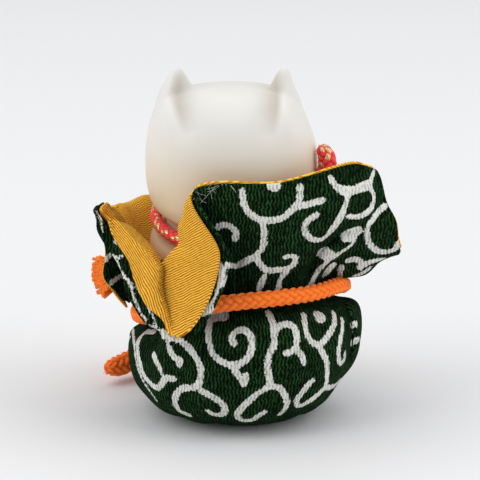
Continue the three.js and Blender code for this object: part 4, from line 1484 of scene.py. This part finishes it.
eyes = oval(side_mm, eye_side, eye_height, 1.55, 1.75) * below(y_mm, -13.0, -12.0)
nose_paint = oval(x_mm, 0.0, nose_height, 2.1, 1.4) * below(y_mm, -24.3, -23.9)
smile_line = (z_mm - smile_height - side_mm * side_mm * 0.035).size()
smile = below(smile_line, 0.16, 0.34) * below(side_mm, 4.6, 5.2) * below(y_mm, -19.0, -18.0)
in_hollow = y_mm.ramp(-4.8, -3.6) * below(y_mm, -1.2, -0.4)
inner_ear = oval(side_mm, ear_spread, ear_paint_height, 2.0, 3.2, 0.4) * in_hollow
upper_glaze = noise(place, 60.0).ramp(0.35, 0.7).mixed(thin_glaze, thick_glaze)
# Below the head the glaze turns into the painted lining reflection, stronger at the back of the shoulders.
middle_glaze_and_reflection = z_mm.ramp(50.0, 72.0).mixed(neck_lining_reflection, upper_glaze)
shoulder_glaze_and_reflection = y_mm.ramp(-12.0, 0.0).mixed(chest_glaze_and_reflection, back_lining_reflection)
base = z_mm.ramp(42.0, 50.0).mixed(shoulder_glaze_and_reflection, middle_glaze_and_reflection)
# The painted grey shade beside the ears, then the pink, black and brown paint.
for share, paint in ((value_of(place, "ear_shade") * 0.9, ear_shade_grey), (inner_ear * 0.55, ear_pink),
                     ((eyes + nose_paint).clipped(), paint_black), (smile, smile_brown)):
    base = share.mixed(base, paint)
end_finish(place, Base_Color=base, Roughness=0.45, Coat_Weight=0.1, Coat_Roughness=0.15,
           Specular_IOR_Level=0.12, Normal=noise(place, 240.0).bump(0.05, 0.0002))
finished(dog, glaze, "glaze", "dog_head", "dog_body")

# %% The unglazed foot ring
dark_clay = (0.60, 0.54, 0.45)
light_clay = (0.72, 0.67, 0.58)
clay, place = start_finish("unglazed_clay")
grain = noise(place, 900.0, 4.0, 0.7)
specks = noise(place, 300.0).ramp(0.62, 0.7)
clay_colour = (grain.ramp(0.3, 0.7) * 0.8 + specks * 0.2).mixed(dark_clay, light_clay)
end_finish(place, Base_Color=clay_colour, Roughness=0.85, Normal=grain.bump(0.3, 0.0002))
dressed(clay, bpy.data.objects["dog_foot_ring"])
print("foot ring in bare clay")

# %% [markdown]
# ## The bell
# The bell is two pressed brass shells with a seam between them and a slot below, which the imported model
# already has to the right size. It keeps those solids and gets a polished, slightly aged brass, where
# fine scratches and patches of tarnish break up the reflections.

# %% Brass
bright_brass = (0.93, 0.70, 0.30)
dull_brass = (0.62, 0.40, 0.14)
brass, place = start_finish("aged_brass")
tarnish = noise(place, 420.0, 4.0, 0.6).ramp(0.35, 0.75)
scratches = noise(place, 1600.0)
end_finish(place, Base_Color=tarnish.mixed(bright_brass, dull_brass), Metallic=1.0,
           Roughness=tarnish * 0.22 + scratches * 0.1 + 0.1, Normal=(scratches + tarnish).bump(0.15, 0.0001))
dressed(brass, *[bpy.data.objects[name] for name in ("bell_dome", "bell_bowl", "bell_pellet")])
print("brass on the bell and its pellet")

# %% [markdown]
# ## Loose threads at the hem
# The corner of the cloth beside the flap is cut and not hemmed, so a few white threads have come loose
# there. They are thin curved tapers that start in the crepe's edge.

# %% Loose threads
loose_count = 18
corner_ribs = (4.85, 5.6)
loose_rng = np.random.default_rng(21)
corner_columns = np.arange(*[int(rib * per_rib) for rib in corner_ribs])
starts, ways = [], []
for _ in range(loose_count):
    column = int(loose_rng.choice(corner_columns))
    row = crepe_rows - 1 - int(loose_rng.integers(0, 7))
    starts.append(crepe_grid[row, column] + outward_crepe[row, column] * 0.1)
    ways.append(outward_crepe[row, column] * 0.25 + loose_rng.normal(0, 0.6, 3) + np.array([-0.3, 0, -0.3]))
loose = threads_from("loose_threads", starts, ways, loose_rng.uniform(1.0, 2.8, loose_count), droop=0.1,
                     thickness=0.035, rng=loose_rng, curl_amount=0.5, sections=7)
finished(loose, white_threads, "crepe")

# %% [markdown]
# ## Floor and light
# A pale floor fills the view, so its own colour makes the background, with a painted shade that darkens
# it a little to the front. Two wide soft boxes stand at the sides and a large one hangs above, which
# leaves only soft shadows, and a dim world fills those.

# %% Floor
bpy.ops.mesh.primitive_plane_add(size=4.0, location=(0, 0, 0))
floor = started("floor")
floor_finish, place = start_finish("pale_floor")
far_floor = (0.88, 0.885, 0.885)
near_floor_shade = (0.775, 0.775, 0.778)
# Painted shade: the floor's colour darkens towards the front.
nearness = in_mm(place, 1).ramp(-1200.0, 120.0)
end_finish(place, Base_Color=nearness.mixed(far_floor, near_floor_shade), Roughness=0.6, Specular_IOR_Level=0.2)
dressed(floor_finish, floor)
print("floor four metres wide")

# %% Lamps and world
lit_place = Vector((0, 0, 0.045))
lamps = [
    ("left_box", (0.85, 0.25, 0.5), 0.9, 1.0, 5.1),
    ("right_box", (-0.85, 0.25, 0.5), 0.9, 1.0, 4.9),
    ("top_box", (0, -0.2, 1.1), 1.8, 1.4, 7.5),
]
for name, place, wide, tall, power in lamps:
    data = bpy.data.lights.new(name, "AREA")
    data.shape = "RECTANGLE"
    data.size = wide
    data.size_y = tall
    data.energy = power
    lamp = bpy.data.objects.new(name, data)
    lamp.location = place
    lamp.rotation_euler = (Vector(place) - lit_place).to_track_quat("Z", "Y").to_euler()
    bpy.context.scene.collection.objects.link(lamp)
world = bpy.data.worlds.new("studio")
bpy.context.scene.world = world
world.use_nodes = True
sky = world.node_tree.nodes["Background"].inputs
sky["Color"].default_value = (0.95, 0.97, 1.0, 1)
sky["Strength"].default_value = 0.5
bpy.context.scene.view_settings.view_transform = "Standard"
print("three soft boxes and a dim world")
